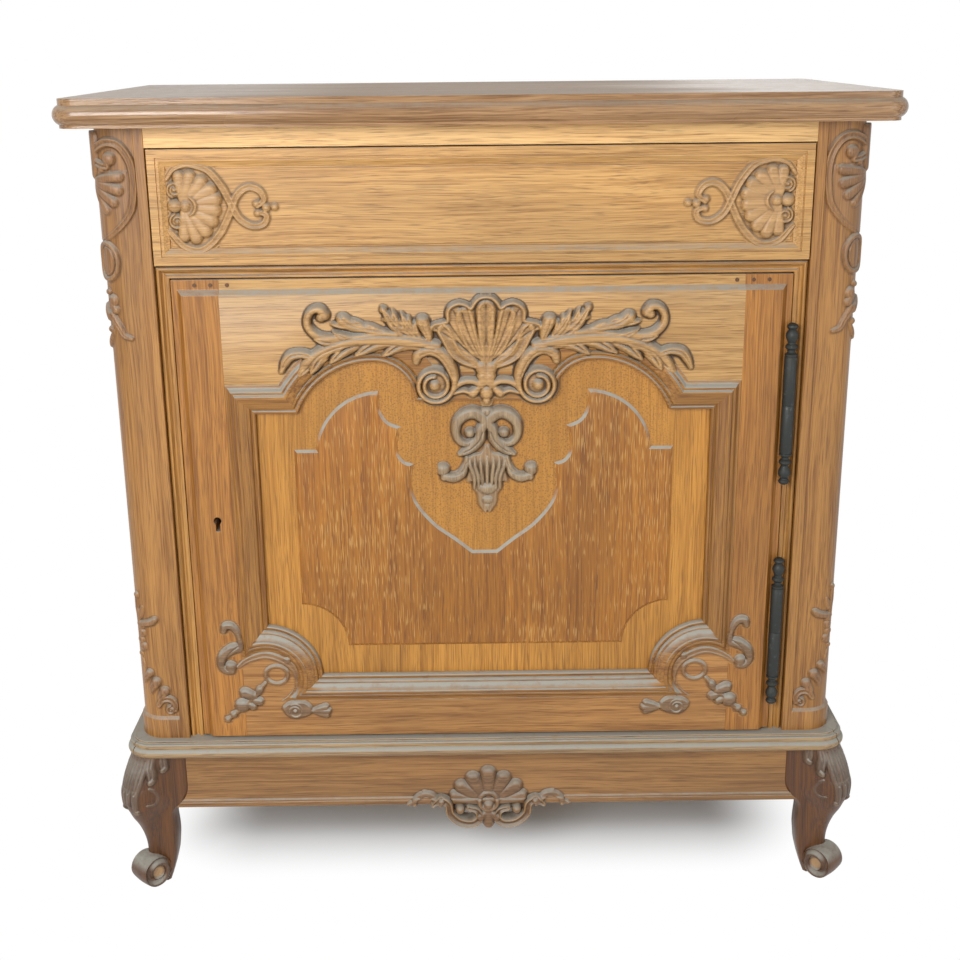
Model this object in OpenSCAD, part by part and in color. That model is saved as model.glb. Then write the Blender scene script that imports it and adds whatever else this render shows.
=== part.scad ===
// Low provincial oak cabinet with one door below one drawer, on four cabriole legs.
// X runs to the right, Y runs from the front to the back, Z runs up from the floor.
// The origin is on the floor under the middle of the top board.

/* [Top board] */
// Thickness of the top board
top_t = 33; // [28:1:45]
// How far the top board reaches past the front of the body
front_overhang = 33; // [33:1:50]
// How far the top board reaches past each side of the body
side_overhang = 33; // [33:1:50]
// How far the top board reaches past the back of the body
back_overhang = 10; // [0:1:30]
// Radius of the two front corners of the top board, seen from above
top_corner_r = 28; // [22:1:45]
// Height of the thin fillet above the rounded nose
top_fillet_t = 6; // [2:0.5:8]
// Height of the thin fillet below the rounded nose
foot_fillet_t = 2.5; // [2:0.5:8]
// How far both fillets are set back behind the nose
top_fillet_in = 7; // [4:0.5:10]

/* [Carcass] */
// Width of the body across the posts
body_w = 918; // [900:2:960]
// Depth of the body from the front of the posts to the back
body_d = 475; // [440:5:520]
// Height of the posts between the base moulding and the top board
post_h = 785; // [775:1:820]
// Width and depth of a front post
post_w = 67; // [62:1:72]
// Width and depth of a back post
back_post_w = 45; // [40:1:52]
// Radius of the outer corner of a front post
post_round_r = 34; // [28:1:40]
// Width of the flat strip left beside the sunk face of a front post
post_strip_w = 12; // [8:1:16]
// Depth of the sunk face of a front post
post_sink = 3.5; // [2:0.5:5]
// Height of the plain plinth block at the foot of a front post
post_plinth_h = 23; // [16:1:40]
// Height of the rail above the drawer
top_rail_h = 24; // [18:1:30]
// Front to back size of the rails above and below the drawer
rail_d = 60; // [40:1:70]
// Height of the rail below the drawer
drawer_rail_h = 22; // [18:1:26]
// Height of the upper side rails
side_top_rail_h = 62; // [50:1:80]
// Height of the lower side rails and of the lower back rail
low_rail_h = 74; // [60:1:90]
// Thickness of the side rails and back rails
rail_t = 22; // [18:1:26]
// How far the side rails sit behind the outer face of the posts
side_set_in = 5; // [3:1:8]
// Length of the tenons of the rails
tenon_l = 24; // [16:1:30]
// Thickness of the tenons
tenon_t = 9; // [6:1:11]
// Thickness of the side panels and the back panel
panel_t = 10; // [7:1:12]
// How deep the side and back panels sit in their grooves
groove_d = 8; // [5:1:10]
// Thickness of the bottom board
bottom_t = 18; // [15:1:22]
// Thickness of the shelf
shelf_t = 18; // [15:1:22]
// Height of the shelf above the bottom board
shelf_h = 282; // [220:5:340]
// Width and height of a shelf cleat
cleat = 22; // [16:1:26]

/* [Base and legs] */
// Clear height under the front apron
foot_h = 114; // [90:1:140]
// Height of the aprons
apron_h = 79; // [70:1:90]
// Thickness of the aprons
apron_t = 22; // [18:1:28]
// Height of the bead along the lower edge of the front and side aprons
apron_bead_h = 10; // [6:1:14]
// Thickness of the base moulding
base_t = 23; // [21:1:32]
// How far the nose of the base moulding stands out from the body
base_out = 19; // [14:1:24]
// How far the base moulding reaches in under the body
base_in = 70; // [68:1:90]
// Radius of the front corners of the base moulding, seen from above
base_corner_r = 24; // [22:1:36]
// How far the knee of a leg stands out from the body
knee_out = 30; // [26:0.5:33]
// How far the toe of a leg stands out from the body
toe_out = 23; // [18:1:28]
// How far the slender ankle stands out from the body
ankle_out = 1; // [0:1:6]
// Width of the head of a leg under the body
leg_head_w = 59; // [54:1:66]
// Width of the ankle under the body
ankle_in = 32; // [28:1:40]

/* [Drawer] */
// Height of the drawer front
drawer_h = 135.5; // [120:0.5:138]
// Gap around the drawer front
drawer_gap = 1.5; // [1:0.1:3]
// Thickness of the drawer front
drawer_front_t = 22; // [18:1:26]
// Thickness of the drawer sides and back
drawer_side_t = 12; // [9:1:16]
// Thickness of the drawer bottom
drawer_bottom_t = 7; // [5:1:9]
// Height of the drawer bottom above the lower edge of the sides
drawer_bottom_up = 10; // [8:1:16]
// Length of the drawer sides
drawer_side_l = 388; // [300:1:400]
// Gap between a drawer side and its guide
guide_gap = 1.2; // [0.8:0.1:2]
// Running gap under the drawer sides
runner_gap = 0.3; // [0.2:0.05:0.6]
// Width of the flat border around the sunk drawer field
drawer_border = 12; // [8:1:18]
// Width of the slope between the border and the sunk field
drawer_slope = 9; // [5:1:12]
// Depth of the sunk drawer field
drawer_sink = 5; // [3:0.5:7]

/* [Door] */
// Width of the fixed moulded strips at the sides of the door
surround_w = 17; // [14:1:20]
// Height of the fixed moulded strip above the door
surround_top_h = 14.5; // [12:0.5:18]
// How far the fixed strips lie behind the face of the posts
surround_in = 6; // [4:0.5:8]
// Gap around the door
door_gap = 1.5; // [1:0.1:2.5]
// Gap between the door and the base moulding
door_foot_gap = 3; // [1.5:0.1:4]
// Thickness of the door frame
door_t = 28; // [24:1:32]
// How far the face of the door stands in front of the posts
door_out = 3; // [1:0.5:5]
// Depth of the rebate around the edge of the door face
lip_sink = 7; // [4:1:9]
// Width of the rebate at the sides of the door
lip_side_w = 7; // [5:1:10]
// Width of the rebate along the top of the door
lip_top_w = 12; // [8:1:16]
// Width of the sloped step up from the rebate to the face
lip_slope = 6; // [3:1:7]
// Width of the door stiles
stile_w = 57.5; // [54:0.5:60]
// Height of the lower edge of the panel opening above the foot of the door
opening_up = 87; // [80:0.5:92]
// Height of the panel opening up to the flat shoulders
shoulder_up = 352; // [340:1:360]
// Place of the crown of each arch, as a part of the half width of the opening
arch_share = 0.482; // [0.47:0.001:0.5]
// Radius of the outer flank of each arch
arch_big_r = 100; // [96:1:104]
// Radius of the inner flank of each arch
arch_small_r = 51; // [47:1:53]
// Height of the crown of the arches above the shoulders
arch_up = 64; // [56:1:70]
// Height of the opening between the arches above the shoulders
mid_up = 14; // [8:1:18]
// Radius of the round scoops in the lower corners of the opening
scoop_r = 73; // [66:1:76]
// Distance from a scoop's centre out to the side edge of the opening
scoop_side = 5; // [2:1:8]
// Distance from a scoop's centre down to the lower edge of the opening
scoop_down = 3; // [1:1:6]
// Width of the moulding around the panel, with its flat outer fillet
mould_w = 36; // [34:0.5:36]
// Height of the moulding in front of the door face
mould_out = 10; // [7:1:12]
// How far the ground of the panel lies behind the door face
panel_sink = 6; // [4:1:8]
// Thickness of the door panel at its ground
door_panel_t = 14; // [12:1:16]
// Thickness of the tongue around the door panel
tongue_t = 7; // [5:1:9]
// Depth of the groove that holds the door panel
door_groove_d = 9; // [6:1:12]
// Height of the raised field of the door panel
field_out = 3; // [2:0.5:4]
// Distance of the raised field from the side edges of the opening
field_side = 44.5; // [38:0.5:52]
// Height of the lower edge of the raised field above the opening's edge
field_up = 39; // [30:1:46]
// Height of the raised field up to its upper notches
field_h = 265; // [240:1:280]
// Radius of the round scoops in the lower corners of the raised field
field_scoop_r = 58; // [50:1:64]

/* [Hinges] */
// Radius of the hinge barrels
barrel_r = 7.8; // [6.5:0.1:8.4]
// Length of one hinge over its finials
hinge_l = 205; // [180:1:220]
// Length of each turned finial
finial_l = 42; // [30:1:50]
// Height of the middle of the lower hinge above the foot of the door
low_hinge_up = 141; // [130:1:180]
// Height of the middle of the upper hinge above the foot of the door
high_hinge_up = 443; // [400:1:470]
// Radius of the hinge pins
pin_r = 4; // [3:0.1:5]
// Length of the hinge pins
pin_l = 70; // [50:1:80]
// Radial clearance of the hinge pins in their bores
pin_fit = 0.05; // [0.02:0.01:0.1]
// Thickness of the hinge leaves
leaf_t = 2.4; // [1.8:0.1:3]
// Depth of the hinge leaves behind the barrel
leaf_d = 18; // [12:1:20]
// Height of the hinge leaves
leaf_h = 46; // [30:1:50]

/* [Lock] */
// Width of the lock case
lock_w = 49; // [40:1:52]
// Height of the lock plate
lock_h = 78; // [76:1:86]
// Depth of the lock case behind the door
lock_d = 13; // [11:1:16]
// Thickness of the sheet of the lock case
lock_sheet = 1.5; // [1:0.1:2]
// Distance of the keyhole from the edge of the door
key_in = 38; // [34:1:42]
// Height of the keyhole above the foot of the door
key_up = 296; // [260:1:330]
// Radius of the round head of the keyhole
key_r = 5; // [4.5:0.1:6]
// Width of the lower slot of the keyhole
key_slot_w = 5.4; // [5:0.1:6]
// Height of the whole keyhole
key_h = 19; // [16:0.5:22]
// Height of the bolt
bolt_h = 16; // [12:1:20]
// Thickness of the bolt
bolt_t = 5; // [4:0.5:6]
// Travel of the bolt
bolt_travel = 9; // [6:0.5:10]
// Clearance around the bolt
bolt_gap = 0.4; // [0.3:0.1:0.6]

/* [Fits] */
// Slack between a tenon and its mortise, and between a panel and its groove
joint_slack = 0.2; // [0.1:0.05:0.4]
// Gap between the back of the closed door and its stops
stop_gap = 1; // [0.5:0.1:2]

/* [Hidden] */
$fn = 64;
top_w = body_w + 2 * side_overhang;
top_d = body_d + front_overhang + back_overhang;
yf = front_overhang - top_d / 2;
yb = yf + body_d;
half_w = body_w / 2;
z_base = foot_h + apron_h;
z_low = z_base + base_t;
z_top = z_low + post_h;
inner_x = half_w - post_w;
z_drawer_top = z_top - top_rail_h - drawer_gap;
z_drawer = z_drawer_top - drawer_h;
z_drawer_rail = z_drawer - drawer_gap;
side_x = half_w - side_set_in;
y_rail_back = yf + rail_d;
door_half = inner_x - surround_w - door_gap;
z_door = z_low + door_foot_gap;
z_door_top = z_drawer_rail - surround_top_h - door_gap;
door_y = yf - door_out;
door_back = door_y + door_t;
lip_y = door_y + lip_sink;
stop_y = door_back + stop_gap;
stile_in = door_half - stile_w;
opening_half_w = stile_in - mould_w;
arch_x = opening_half_w * arch_share;
field_half_w = opening_half_w - field_side;
z_open = z_door + opening_up;
z_shoulder = z_open + shoulder_up;
z_crown = z_shoulder + arch_up;
z_mid = z_shoulder + mid_up;
panel_y = door_y + panel_sink;
tongue_y = panel_y + (door_panel_t - tongue_t) / 2;
field_low = z_open + field_up;
field_top = field_low + field_h;
axis_x = door_half + door_gap / 2;
axis_y = lip_y - barrel_r - 0.4;
z_bottom = z_low + bottom_t;
z_shelf = z_bottom + shelf_h;
key_x = -door_half + key_in;
z_key = z_door + key_up;
lock_y = door_back + lock_d;
runner_top = z_drawer_rail;
box_half = inner_x - 7;
box_low = runner_top + runner_gap;
box_top = z_drawer_top - 2;
drawer_y = yf + drawer_front_t;
oak = [0.72, 0.50, 0.28];
dark_oak = [0.48, 0.32, 0.20];
pale_oak = [0.80, 0.61, 0.38];
iron = [0.20, 0.22, 0.21];
steel = [0.55, 0.55, 0.56];

// Shared shapes

// A flat shape drawn in X and Z, given thickness from y0 forward to y1
module front_plate(y0, y1) {
    translate([0, y0, 0]) rotate([90, 0, 0]) linear_extrude(y0 - y1) children();
}

// A box between two corners
module box(a, b) {
    translate(a) cube(b - a);
}

// The right-hand piece as drawn, or its mirror image for the left
module on_side(s) {
    mirror([s < 0 ? 1 : 0, 0, 0]) children();
}

// A slab with the drawn edge profile along its front and both sides.
// The profile starts at x = 0 over the corner centres and ends at x = r on the edge.
module moulded_slab(w, y0, y1, r, z0, z1) {
    x = w / 2 - r;
    box([-x, y0 + r, z0], [x, y1, z1]);
    for (s = [-1, 1]) on_side(s) {
        translate([x, y1, 0]) rotate([90, 0, 0]) linear_extrude(y1 - y0 - r) children();
        translate([x, y0 + r, 0]) rotate(-90) rotate_extrude(angle = 90) children();
    }
    translate([x, y0 + r, 0]) rotate([90, 0, -90]) linear_extrude(2 * x) children();
}

// A two-dimensional ring
module ring(r, w) {
    difference() {
        circle(r);
        circle(r - w);
    }
}

// A carved volute with its eye, standing out by h
module volute(r, h, y) {
    front_plate(y, y - h) ring(r, r * 0.3);
    front_plate(y, y - h * 0.6) circle(r);
    front_plate(y, y - h) circle(r * 0.36);
}

// A carved leaf lying along the X axis, from its stem at the origin to its tip
module leaf(l, w) {
    intersection() {
        translate([l / 2, w / 2 - leaf_radius(l, w)]) circle(leaf_radius(l, w));
        translate([l / 2, leaf_radius(l, w) - w / 2]) circle(leaf_radius(l, w));
    }
}
function leaf_radius(l, w) = (l * l + w * w) / (4 * w);

// Top board

module top_edge() {
    nose_t = top_t - top_fillet_t - foot_fillet_t;
    nose_r = nose_t / 2;
    translate([0, z_top]) square([top_corner_r - top_fillet_in, top_t]);
    translate([0, z_top + foot_fillet_t]) square([top_corner_r - nose_r, nose_t]);
    translate([top_corner_r - nose_r, z_top + foot_fillet_t + nose_r]) circle(nose_r);
}

module top_board() color(dark_oak) difference() {
    moulded_slab(top_w, yf - front_overhang, yb + back_overhang, top_corner_r, z_top, z_top + top_t)
        top_edge();
    top_screw_places() cylinder(h = top_screw_l, r = top_screw_r + joint_slack);
}

top_screw_r = 2;
top_screw_l = 42;
top_screw_head_r = 4.2;
top_screw_head_t = 3;

// How far the heads of the back screws lie above the lower face of the front rail
back_screw_up = 6;

// The screws come up through the front and back top rails
module top_screw_places() {
    for (x = [-0.7, 0, 0.7]) {
        translate([x * inner_x, yf + rail_d * 0.6, z_top - top_rail_h]) children();
        translate([x * inner_x, yb - rail_t / 2, z_top - top_rail_h + back_screw_up]) children();
    }
}

module top_screws() color(steel) top_screw_places() {
    cylinder(h = top_screw_l - 2, r = top_screw_r);
    cylinder(h = top_screw_head_t, r = top_screw_head_r);
}

module top_screw_holes() top_screw_places() {
    cylinder(h = top_screw_l, r = top_screw_r + joint_slack);
    translate([0, 0, -low_rail_h])
        cylinder(h = low_rail_h + top_screw_head_t, r = top_screw_head_r + joint_slack);
}

// Carcass rails, each with its tenons; slack widens the tenons to cut the mortises

shoulder = 4;
top_tenon_in = 14;
drawer_tenon_in = 30;
rail_shoulder = 8;
post_head_shoulder = 26;

// One tenon of a front rail: its distance behind the post's face, and its lower and upper height
module front_rail_tenon(slack, y_in, z0, z1)
    box([inner_x - slack, yf + y_in - slack, z0 - slack],
        [inner_x + tenon_l + slack, yf + y_in + tenon_t + slack, z1 + slack]);

module front_rail_tenons(slack) for (s = [-1, 1]) on_side(s) {
    front_rail_tenon(slack, top_tenon_in, z_top - top_rail_h + shoulder, z_top - shoulder);
    front_rail_tenon(slack, drawer_tenon_in, z_drawer_rail - drawer_rail_h + shoulder,
        z_drawer_rail - shoulder);
}

module back_rail_tenons(slack) {
    y = yb - rail_t / 2 - tenon_t / 2;
    for (z = [[z_low + rail_shoulder, z_low + low_rail_h - rail_shoulder],
            [z_top - side_top_rail_h + rail_shoulder, z_top - rail_shoulder]])
        for (s = [-1, 1]) on_side(s) box([half_w - back_post_w - slack, y - slack, z[0] - slack],
            [half_w - back_post_w + tenon_l + slack, y + tenon_t + slack, z[1] + slack]);
}

module side_rail_tenons(slack) {
    x = side_x - rail_t / 2 - tenon_t / 2;
    for (z = [[z_low + rail_shoulder, z_low + low_rail_h - rail_shoulder],
            [z_top - side_top_rail_h + rail_shoulder, z_top - post_head_shoulder]])
        box([x - slack, yf + post_w - tenon_l - slack, z[0] - slack],
            [x + tenon_t + slack, yb - back_post_w + tenon_l + slack, z[1] + slack]);
}

// How far the edge of a side or back panel stays from the bottom of its groove
groove_spare = 1;

// The whole side panel with its edges in the grooves; slack widens it to cut the grooves
module side_panel_body(slack) {
    x = side_x - rail_t / 2;
    g = groove_d - groove_spare + slack / joint_slack * groove_spare;
    box([x - panel_t / 2 - slack, yf + post_w - g, z_low + low_rail_h - g],
        [x + panel_t / 2 + slack, yb - back_post_w + g, z_top - side_top_rail_h + g]);
}

module back_panel_body(slack) {
    y = yb - rail_t / 2;
    g = groove_d - groove_spare + slack / joint_slack * groove_spare;
    box([-half_w + back_post_w - g, y - panel_t / 2 - slack, z_low + low_rail_h - g],
        [half_w - back_post_w + g, y + panel_t / 2 + slack, z_top - side_top_rail_h + g]);
}

module front_top_rail() color(pale_oak) difference() {
    union() {
        box([-inner_x, yf, z_top - top_rail_h], [inner_x, y_rail_back, z_top]);
        intersection() {
            front_rail_tenons(0);
            box([-half_w, yf, z_top - top_rail_h], [half_w, y_rail_back, z_top]);
        }
    }
    top_screw_holes();
}

module drawer_rail() color(oak) {
    box([-inner_x, stop_y, z_drawer_rail - drawer_rail_h], [inner_x, y_rail_back, z_drawer_rail]);
    intersection() {
        front_rail_tenons(0);
        box([-half_w, yf, z_drawer_rail - drawer_rail_h], [half_w, y_rail_back, z_drawer_rail]);
    }
}

module back_rail(z0, z1) difference() {
    union() {
        box([-half_w + back_post_w, yb - rail_t, z0], [half_w - back_post_w, yb, z1]);
        intersection() {
            back_rail_tenons(0);
            box([-half_w, yb - rail_t, z0], [half_w, yb, z1]);
        }
    }
    back_panel_body(joint_slack);
}

module back_top_rail() color(oak) difference() {
    back_rail(z_top - side_top_rail_h, z_top);
    top_screw_holes();
}

module back_bottom_rail() color(oak) back_rail(z_low, z_low + low_rail_h);

module side_rail(z0, z1) difference() {
    union() {
        box([side_x - rail_t, yf + post_w, z0], [side_x, yb - back_post_w, z1]);
        intersection() {
            side_rail_tenons(0);
            box([side_x - rail_t, yf, z0], [side_x, yb, z1]);
        }
    }
    side_panel_body(joint_slack);
}

module side_top_rail(s) color(oak) on_side(s) side_rail(z_top - side_top_rail_h, z_top);
module side_bottom_rail(s) color(oak) on_side(s) side_rail(z_low, z_low + low_rail_h);
module side_panel(s) color(oak) on_side(s) side_panel_body(0);

back_board_w = 150;
back_board_v = 1.5;

// The boards of the back are parted by V grooves
module back_panel() color(oak) difference() {
    back_panel_body(0);
    for (i = [-2:2]) translate([i * back_board_w, yb - rail_t / 2 + panel_t / 2, 0]) rotate(45)
        box([-back_board_v, -back_board_v, z_low], [back_board_v, back_board_v, z_top]);
}

// Front posts

// The plan of a front post on the right, set in by e from its outer faces
module post_plan(e) {
    r = post_round_r - e;
    difference() {
        translate([inner_x, yf + e]) square([post_w - e, post_w - e]);
        translate([half_w - e - r, yf + e]) square([r, r]);
    }
    translate([half_w - e - r, yf + e + r]) intersection() {
        circle(r);
        translate([0, -r]) square(r);
    }
}

// A carved pattern, drawn in width and height on the rounded corner of a right-hand post
module on_corner() {
    intersection() {
        translate([0, 0, z_low]) linear_extrude(post_h) post_plan(0);
        translate([half_w - post_round_r, yf + post_round_r, 0]) rotate(45) rotate([90, 0, 0])
            linear_extrude(2 * post_w) children();
    }
}

// A long ring with bevelled ends, drawn round the origin
module link(w, h, t) {
    difference() {
        polygon([[-w, h - w], [-w, w - h], [-w / 2, -h], [w / 2, -h], [w, w - h], [w, h - w],
            [w / 2, h], [-w / 2, h]]);
        polygon([[t - w, h - w], [t - w, w - h], [-w / 2 + t / 2, t - h], [w / 2 - t / 2, t - h],
            [w - t, w - h], [w - t, h - w], [w / 2 - t / 2, h - t], [-w / 2 + t / 2, h - t]]);
    }
}

// Shell and scroll at the head of a post, with a tapering tail, a long ring and a leaf
module post_head_pattern() {
    translate([0, z_top - 28]) circle(15);
    for (a = [-60:30:60]) translate([sin(a) * 15, z_top - 62 - cos(a) * 13]) circle(8);
    translate([0, z_top - 62]) circle(15);
    translate([-3, z_top - 141]) square([6, 78]);
    translate([0, z_top - 165]) link(12, 27, 4);
    translate([0, z_top - 189]) rotate(-90) leaf(58, 20);
}

// Berries and leaves that climb from the plinth block of a post
module post_foot_pattern() {
    z = z_low + post_plinth_h;
    translate([0, z + 170]) rotate(-90) leaf(70, 14);
    translate([0, z + 112]) rotate(-90) leaf(60, 22);
    for (i = [0:3]) translate([-6 - i * 2, z + 52 - i * 13]) circle(9 + i);
}

module front_post(s) color(oak) on_side(s) difference() {
    union() {
        translate([0, 0, z_low]) linear_extrude(post_plinth_h) post_plan(0);
        translate([0, 0, z_low]) linear_extrude(post_h) {
            intersection() {
                post_plan(0);
                translate([inner_x, yf]) square([post_strip_w, post_w]);
            }
            post_plan(post_sink);
        }
        on_corner() post_head_pattern();
        on_corner() post_foot_pattern();
    }
    front_rail_tenons(joint_slack);
    side_rail_tenons(joint_slack);
    side_panel_body(joint_slack);
}

module back_post(s) color(oak) on_side(s) difference() {
    box([half_w - back_post_w, yb - back_post_w, z_low], [half_w, yb, z_top]);
    back_rail_tenons(joint_slack);
    side_rail_tenons(joint_slack);
    side_panel_body(joint_slack);
    back_panel_body(joint_slack);
}

// Inside of the carcass

board_gap = 0.5;
shelf_set_back = 20;

// A board that fills the body, with corners cut out for the posts
module fitted_board(z, t, y0) {
    side_in = side_x - rail_t;
    g = board_gap;
    difference() {
        box([-side_in + g, y0, z], [side_in - g, yb - rail_t - g, z + t]);
        for (s = [-1, 1]) on_side(s) {
            box([inner_x - g, yf, z - 1], [half_w, yf + post_w + g, z + t + 1]);
            box([half_w - back_post_w - g, yb - back_post_w - g, z - 1], [half_w, yb, z + t + 1]);
        }
    }
}

module bottom_board() color(oak) fitted_board(z_low, bottom_t, stop_y);
module shelf() color(oak) fitted_board(z_shelf, shelf_t, yf + post_w - shelf_set_back);

// Cleats reach from the front post to the back post under the shelf
module shelf_cleats() color(pale_oak) for (s = [-1, 1]) on_side(s)
    box([half_w - back_post_w - cleat / 2, yf + post_w, z_shelf - cleat],
        [side_x - rail_t, yb - back_post_w, z_shelf]);

runner_x = box_half - drawer_side_t - 8;
guide_h = 16;

// A runner carries one side of the drawer, and its raised outer part guides it
module drawer_runner(s) color(pale_oak) on_side(s) {
    z = z_drawer_rail - drawer_rail_h;
    box([runner_x, y_rail_back, z], [box_half + guide_gap, yb - rail_t, runner_top]);
    box([box_half + guide_gap, yf + post_w, z],
        [side_x - rail_t, yb - back_post_w, runner_top + guide_h]);
}

module drawer_kickers() color(pale_oak) for (s = [-1, 1]) on_side(s)
    box([runner_x, y_rail_back, z_top - top_rail_h], [box_half + guide_gap, yb - rail_t, z_top]);

// Fixed strips around the door

strip_bead_w = 6;
strip_cove_w = 5;
strip_cove = 3;
strip_quirk = 2;

strip_y = yf + surround_in;
strip_back = stop_y - strip_y;

// Section of a strip: its width from the post, and its depth forward from its own face
module strip_section(w) {
    flat = strip_bead_w + strip_cove_w;
    polygon([[0, -strip_back], [w, -strip_back], [w, -1], [flat, -1], [flat, -1 - strip_cove],
        [strip_bead_w, -strip_cove], [strip_bead_w, -1], [strip_bead_w - 1, 0], [strip_quirk, 0],
        [strip_quirk, -2 * strip_cove], [0, -2 * strip_cove]]);
}

module door_surround_side(s) color(pale_oak) on_side(s) difference() {
    intersection() {
        translate([inner_x, strip_y, z_low]) rotate(180)
            linear_extrude(z_drawer_rail - z_low) strip_section(surround_w);
        front_plate(stop_y, strip_y) polygon([[inner_x - surround_w, z_low], [inner_x, z_low],
            [inner_x, z_drawer_rail], [inner_x - surround_w, z_drawer_rail - surround_top_h]]);
    }
    if (s > 0) leaf_plates(joint_slack, 1);
}

module door_surround_top() color(pale_oak) intersection() {
    translate([-inner_x, strip_y, z_drawer_rail]) rotate([0, 90, 0]) mirror([0, 1, 0])
        linear_extrude(2 * inner_x) strip_section(surround_top_h);
    front_plate(stop_y, strip_y) polygon([[-inner_x, z_drawer_rail], [inner_x, z_drawer_rail],
        [inner_x - surround_w, z_drawer_rail - surround_top_h],
        [-inner_x + surround_w, z_drawer_rail - surround_top_h]]);
}

// Base moulding

base_nose_h = 14;
base_step_in = 4;
base_top_in = 9;
base_top_h = 3;

module base_edge() {
    r = base_corner_r;
    nose_r = base_nose_h / 2;
    translate([0, z_base]) square([r - base_top_in, base_t]);
    translate([0, z_base]) square([r - base_step_in, base_t - base_top_h]);
    translate([0, z_base]) square([r - nose_r, base_nose_h]);
    translate([r - nose_r, z_base + nose_r]) circle(nose_r);
}

// The whole frame of the base before it is parted at the mitres
module base_frame() difference() {
    moulded_slab(body_w + 2 * base_out, yf - base_out, yb, base_corner_r, z_base, z_low) base_edge();
    box([-half_w + base_in, yf + base_in, z_base - 1], [half_w - base_in, yb + 1, z_low + 1]);
}

// Half of the space in front of the mitre at the right-hand corner
module mitre_front() {
    x = half_w + base_out + 10;
    y = yf - base_out - 10;
    depth = base_in + base_out + 20;
    translate([0, 0, z_base - 1]) linear_extrude(base_t + 2)
        polygon([[-x, y], [x, y], [x - depth, y + depth], [depth - x, y + depth]]);
}

module base_moulding_front() color(oak) intersection() {
    base_frame();
    mitre_front();
}

module base_moulding_side(s) color(oak) on_side(s) difference() {
    intersection() {
        base_frame();
        box([0, -body_d, z_base - 1], [body_w, body_d, z_low + 1]);
    }
    mitre_front();
}

// Aprons

apron_in = 3;

module apron_section(face) {
    square([apron_t, apron_h]);
    if (face) translate([1 - apron_in, 0]) square([apron_in, apron_bead_h]);
}

leg_in_x = half_w - leg_head_w;

// Scallop shell under the middle of the front apron, with scrolls at its sides
module apron_shell() {
    z = foot_h + 8;
    y = yf + apron_in;
    for (a = [10:32:170]) front_plate(y + 1, y - 9) translate([cos(a) * 32, z + sin(a) * 28]) circle(12);
    front_plate(y + apron_t, y - 6) translate([0, z - 2]) circle(30);
    front_plate(y, y - 14) translate([0, z - 3]) circle(8);
    for (s = [-1, 1]) on_side(s) {
        translate([26, 0, z - 24]) volute(14, 12, y + 6);
        translate([50, 0, z - 8]) volute(11, 9, y + 6);
        front_plate(y + 6, y - 5) translate([58, z - 10]) rotate(8) leaf(50, 14);
    }
    front_plate(y + 6, y - 9) translate([0, z - 32]) circle(9);
}

module front_apron() color(oak) {
    translate([-leg_in_x, yf + apron_in, foot_h]) rotate([90, 0, 90]) linear_extrude(2 * leg_in_x)
        apron_section(true);
    apron_shell();
}

module side_apron(s) color(oak) on_side(s)
    translate([half_w - apron_in, yf + leg_head_w, foot_h]) rotate([90, 0, 180])
        linear_extrude(body_d - 2 * leg_head_w) apron_section(true);

module back_apron() color(oak) translate([-leg_in_x, yb - apron_t, foot_h])
    rotate([90, 0, 90]) linear_extrude(2 * leg_in_x) apron_section(false);

// Cabriole legs

// Stations of a leg from the floor up: height, reach outside the body, width inside it, corner radius
leg_stations = [
    [0, toe_out - 10, ankle_in - 8, 15],
    [5, toe_out - 3, ankle_in - 7, 17],
    [14, toe_out, ankle_in - 6, 18],
    [26, toe_out, ankle_in - 4, 18],
    [37, toe_out - 5, ankle_in - 2, 17],
    [46, (toe_out + ankle_out) / 2 - 2, ankle_in - 1, 14],
    [54, ankle_out + 1, ankle_in, 11],
    [68, ankle_out, ankle_in, 11],
    [foot_h - 28, ankle_out + 3, ankle_in + 1, 13],
    [foot_h - 12, (ankle_out + knee_out) / 2 - 2, ankle_in + 3, 18],
    [foot_h, knee_out - 9, leg_head_w, 24],
    [foot_h + apron_h * 0.2, knee_out - 3, leg_head_w, 27],
    [foot_h + apron_h * 0.38, knee_out, leg_head_w, 28],
    [foot_h + apron_h * 0.66, knee_out - 5, leg_head_w, 28],
    [z_base, base_out - 4, leg_head_w, 26]];

// Points round one corner of a ring, from angle a through a quarter turn
corner_steps = 5;
function corner_points(x, y, r, a) =
    [for (i = [0:corner_steps]) let (b = a + 90 * i / corner_steps) [x + r * cos(b), y + r * sin(b)]];

// The ring of a leg at one station: ox, oy reach outside the body's corner at the origin
function leg_ring(s, oy, iy) = let (z = s[0], ox = s[1], ix = s[2], r = s[3], q = 5)
    [for (p = concat(
        corner_points(ox - r, -oy + r, r, -90),
        corner_points(ox - q, iy - q, q, 0),
        corner_points(q - ix, iy - q, q, 90),
        corner_points(q - ix, -oy + q, q, 180))) [p[0], p[1], z]];

// A smooth value between stations by a cubic through the four nearest ones
function cubic(a, b, c, d, t) =
    b + 0.5 * t * (c - a + t * (2 * a - 5 * b + 4 * c - d + t * (3 * (b - c) + d - a)));
function station(list, i) = list[max(0, min(len(list) - 1, i))];
ring_steps = 2;
leg_rings = [for (i = [0:len(leg_stations) - 2], k = [0:ring_steps - 1]) let (t = k / ring_steps)
    [for (j = [0:3]) j == 0 ? leg_stations[i][0] * (1 - t) + leg_stations[i + 1][0] * t :
        min([0, knee_out, leg_head_w, leg_head_w][j],
            cubic(station(leg_stations, i - 1)[j], leg_stations[i][j], leg_stations[i + 1][j],
                station(leg_stations, i + 2)[j], t))]];
leg_all = concat(leg_rings, [leg_stations[len(leg_stations) - 1]]);

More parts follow.
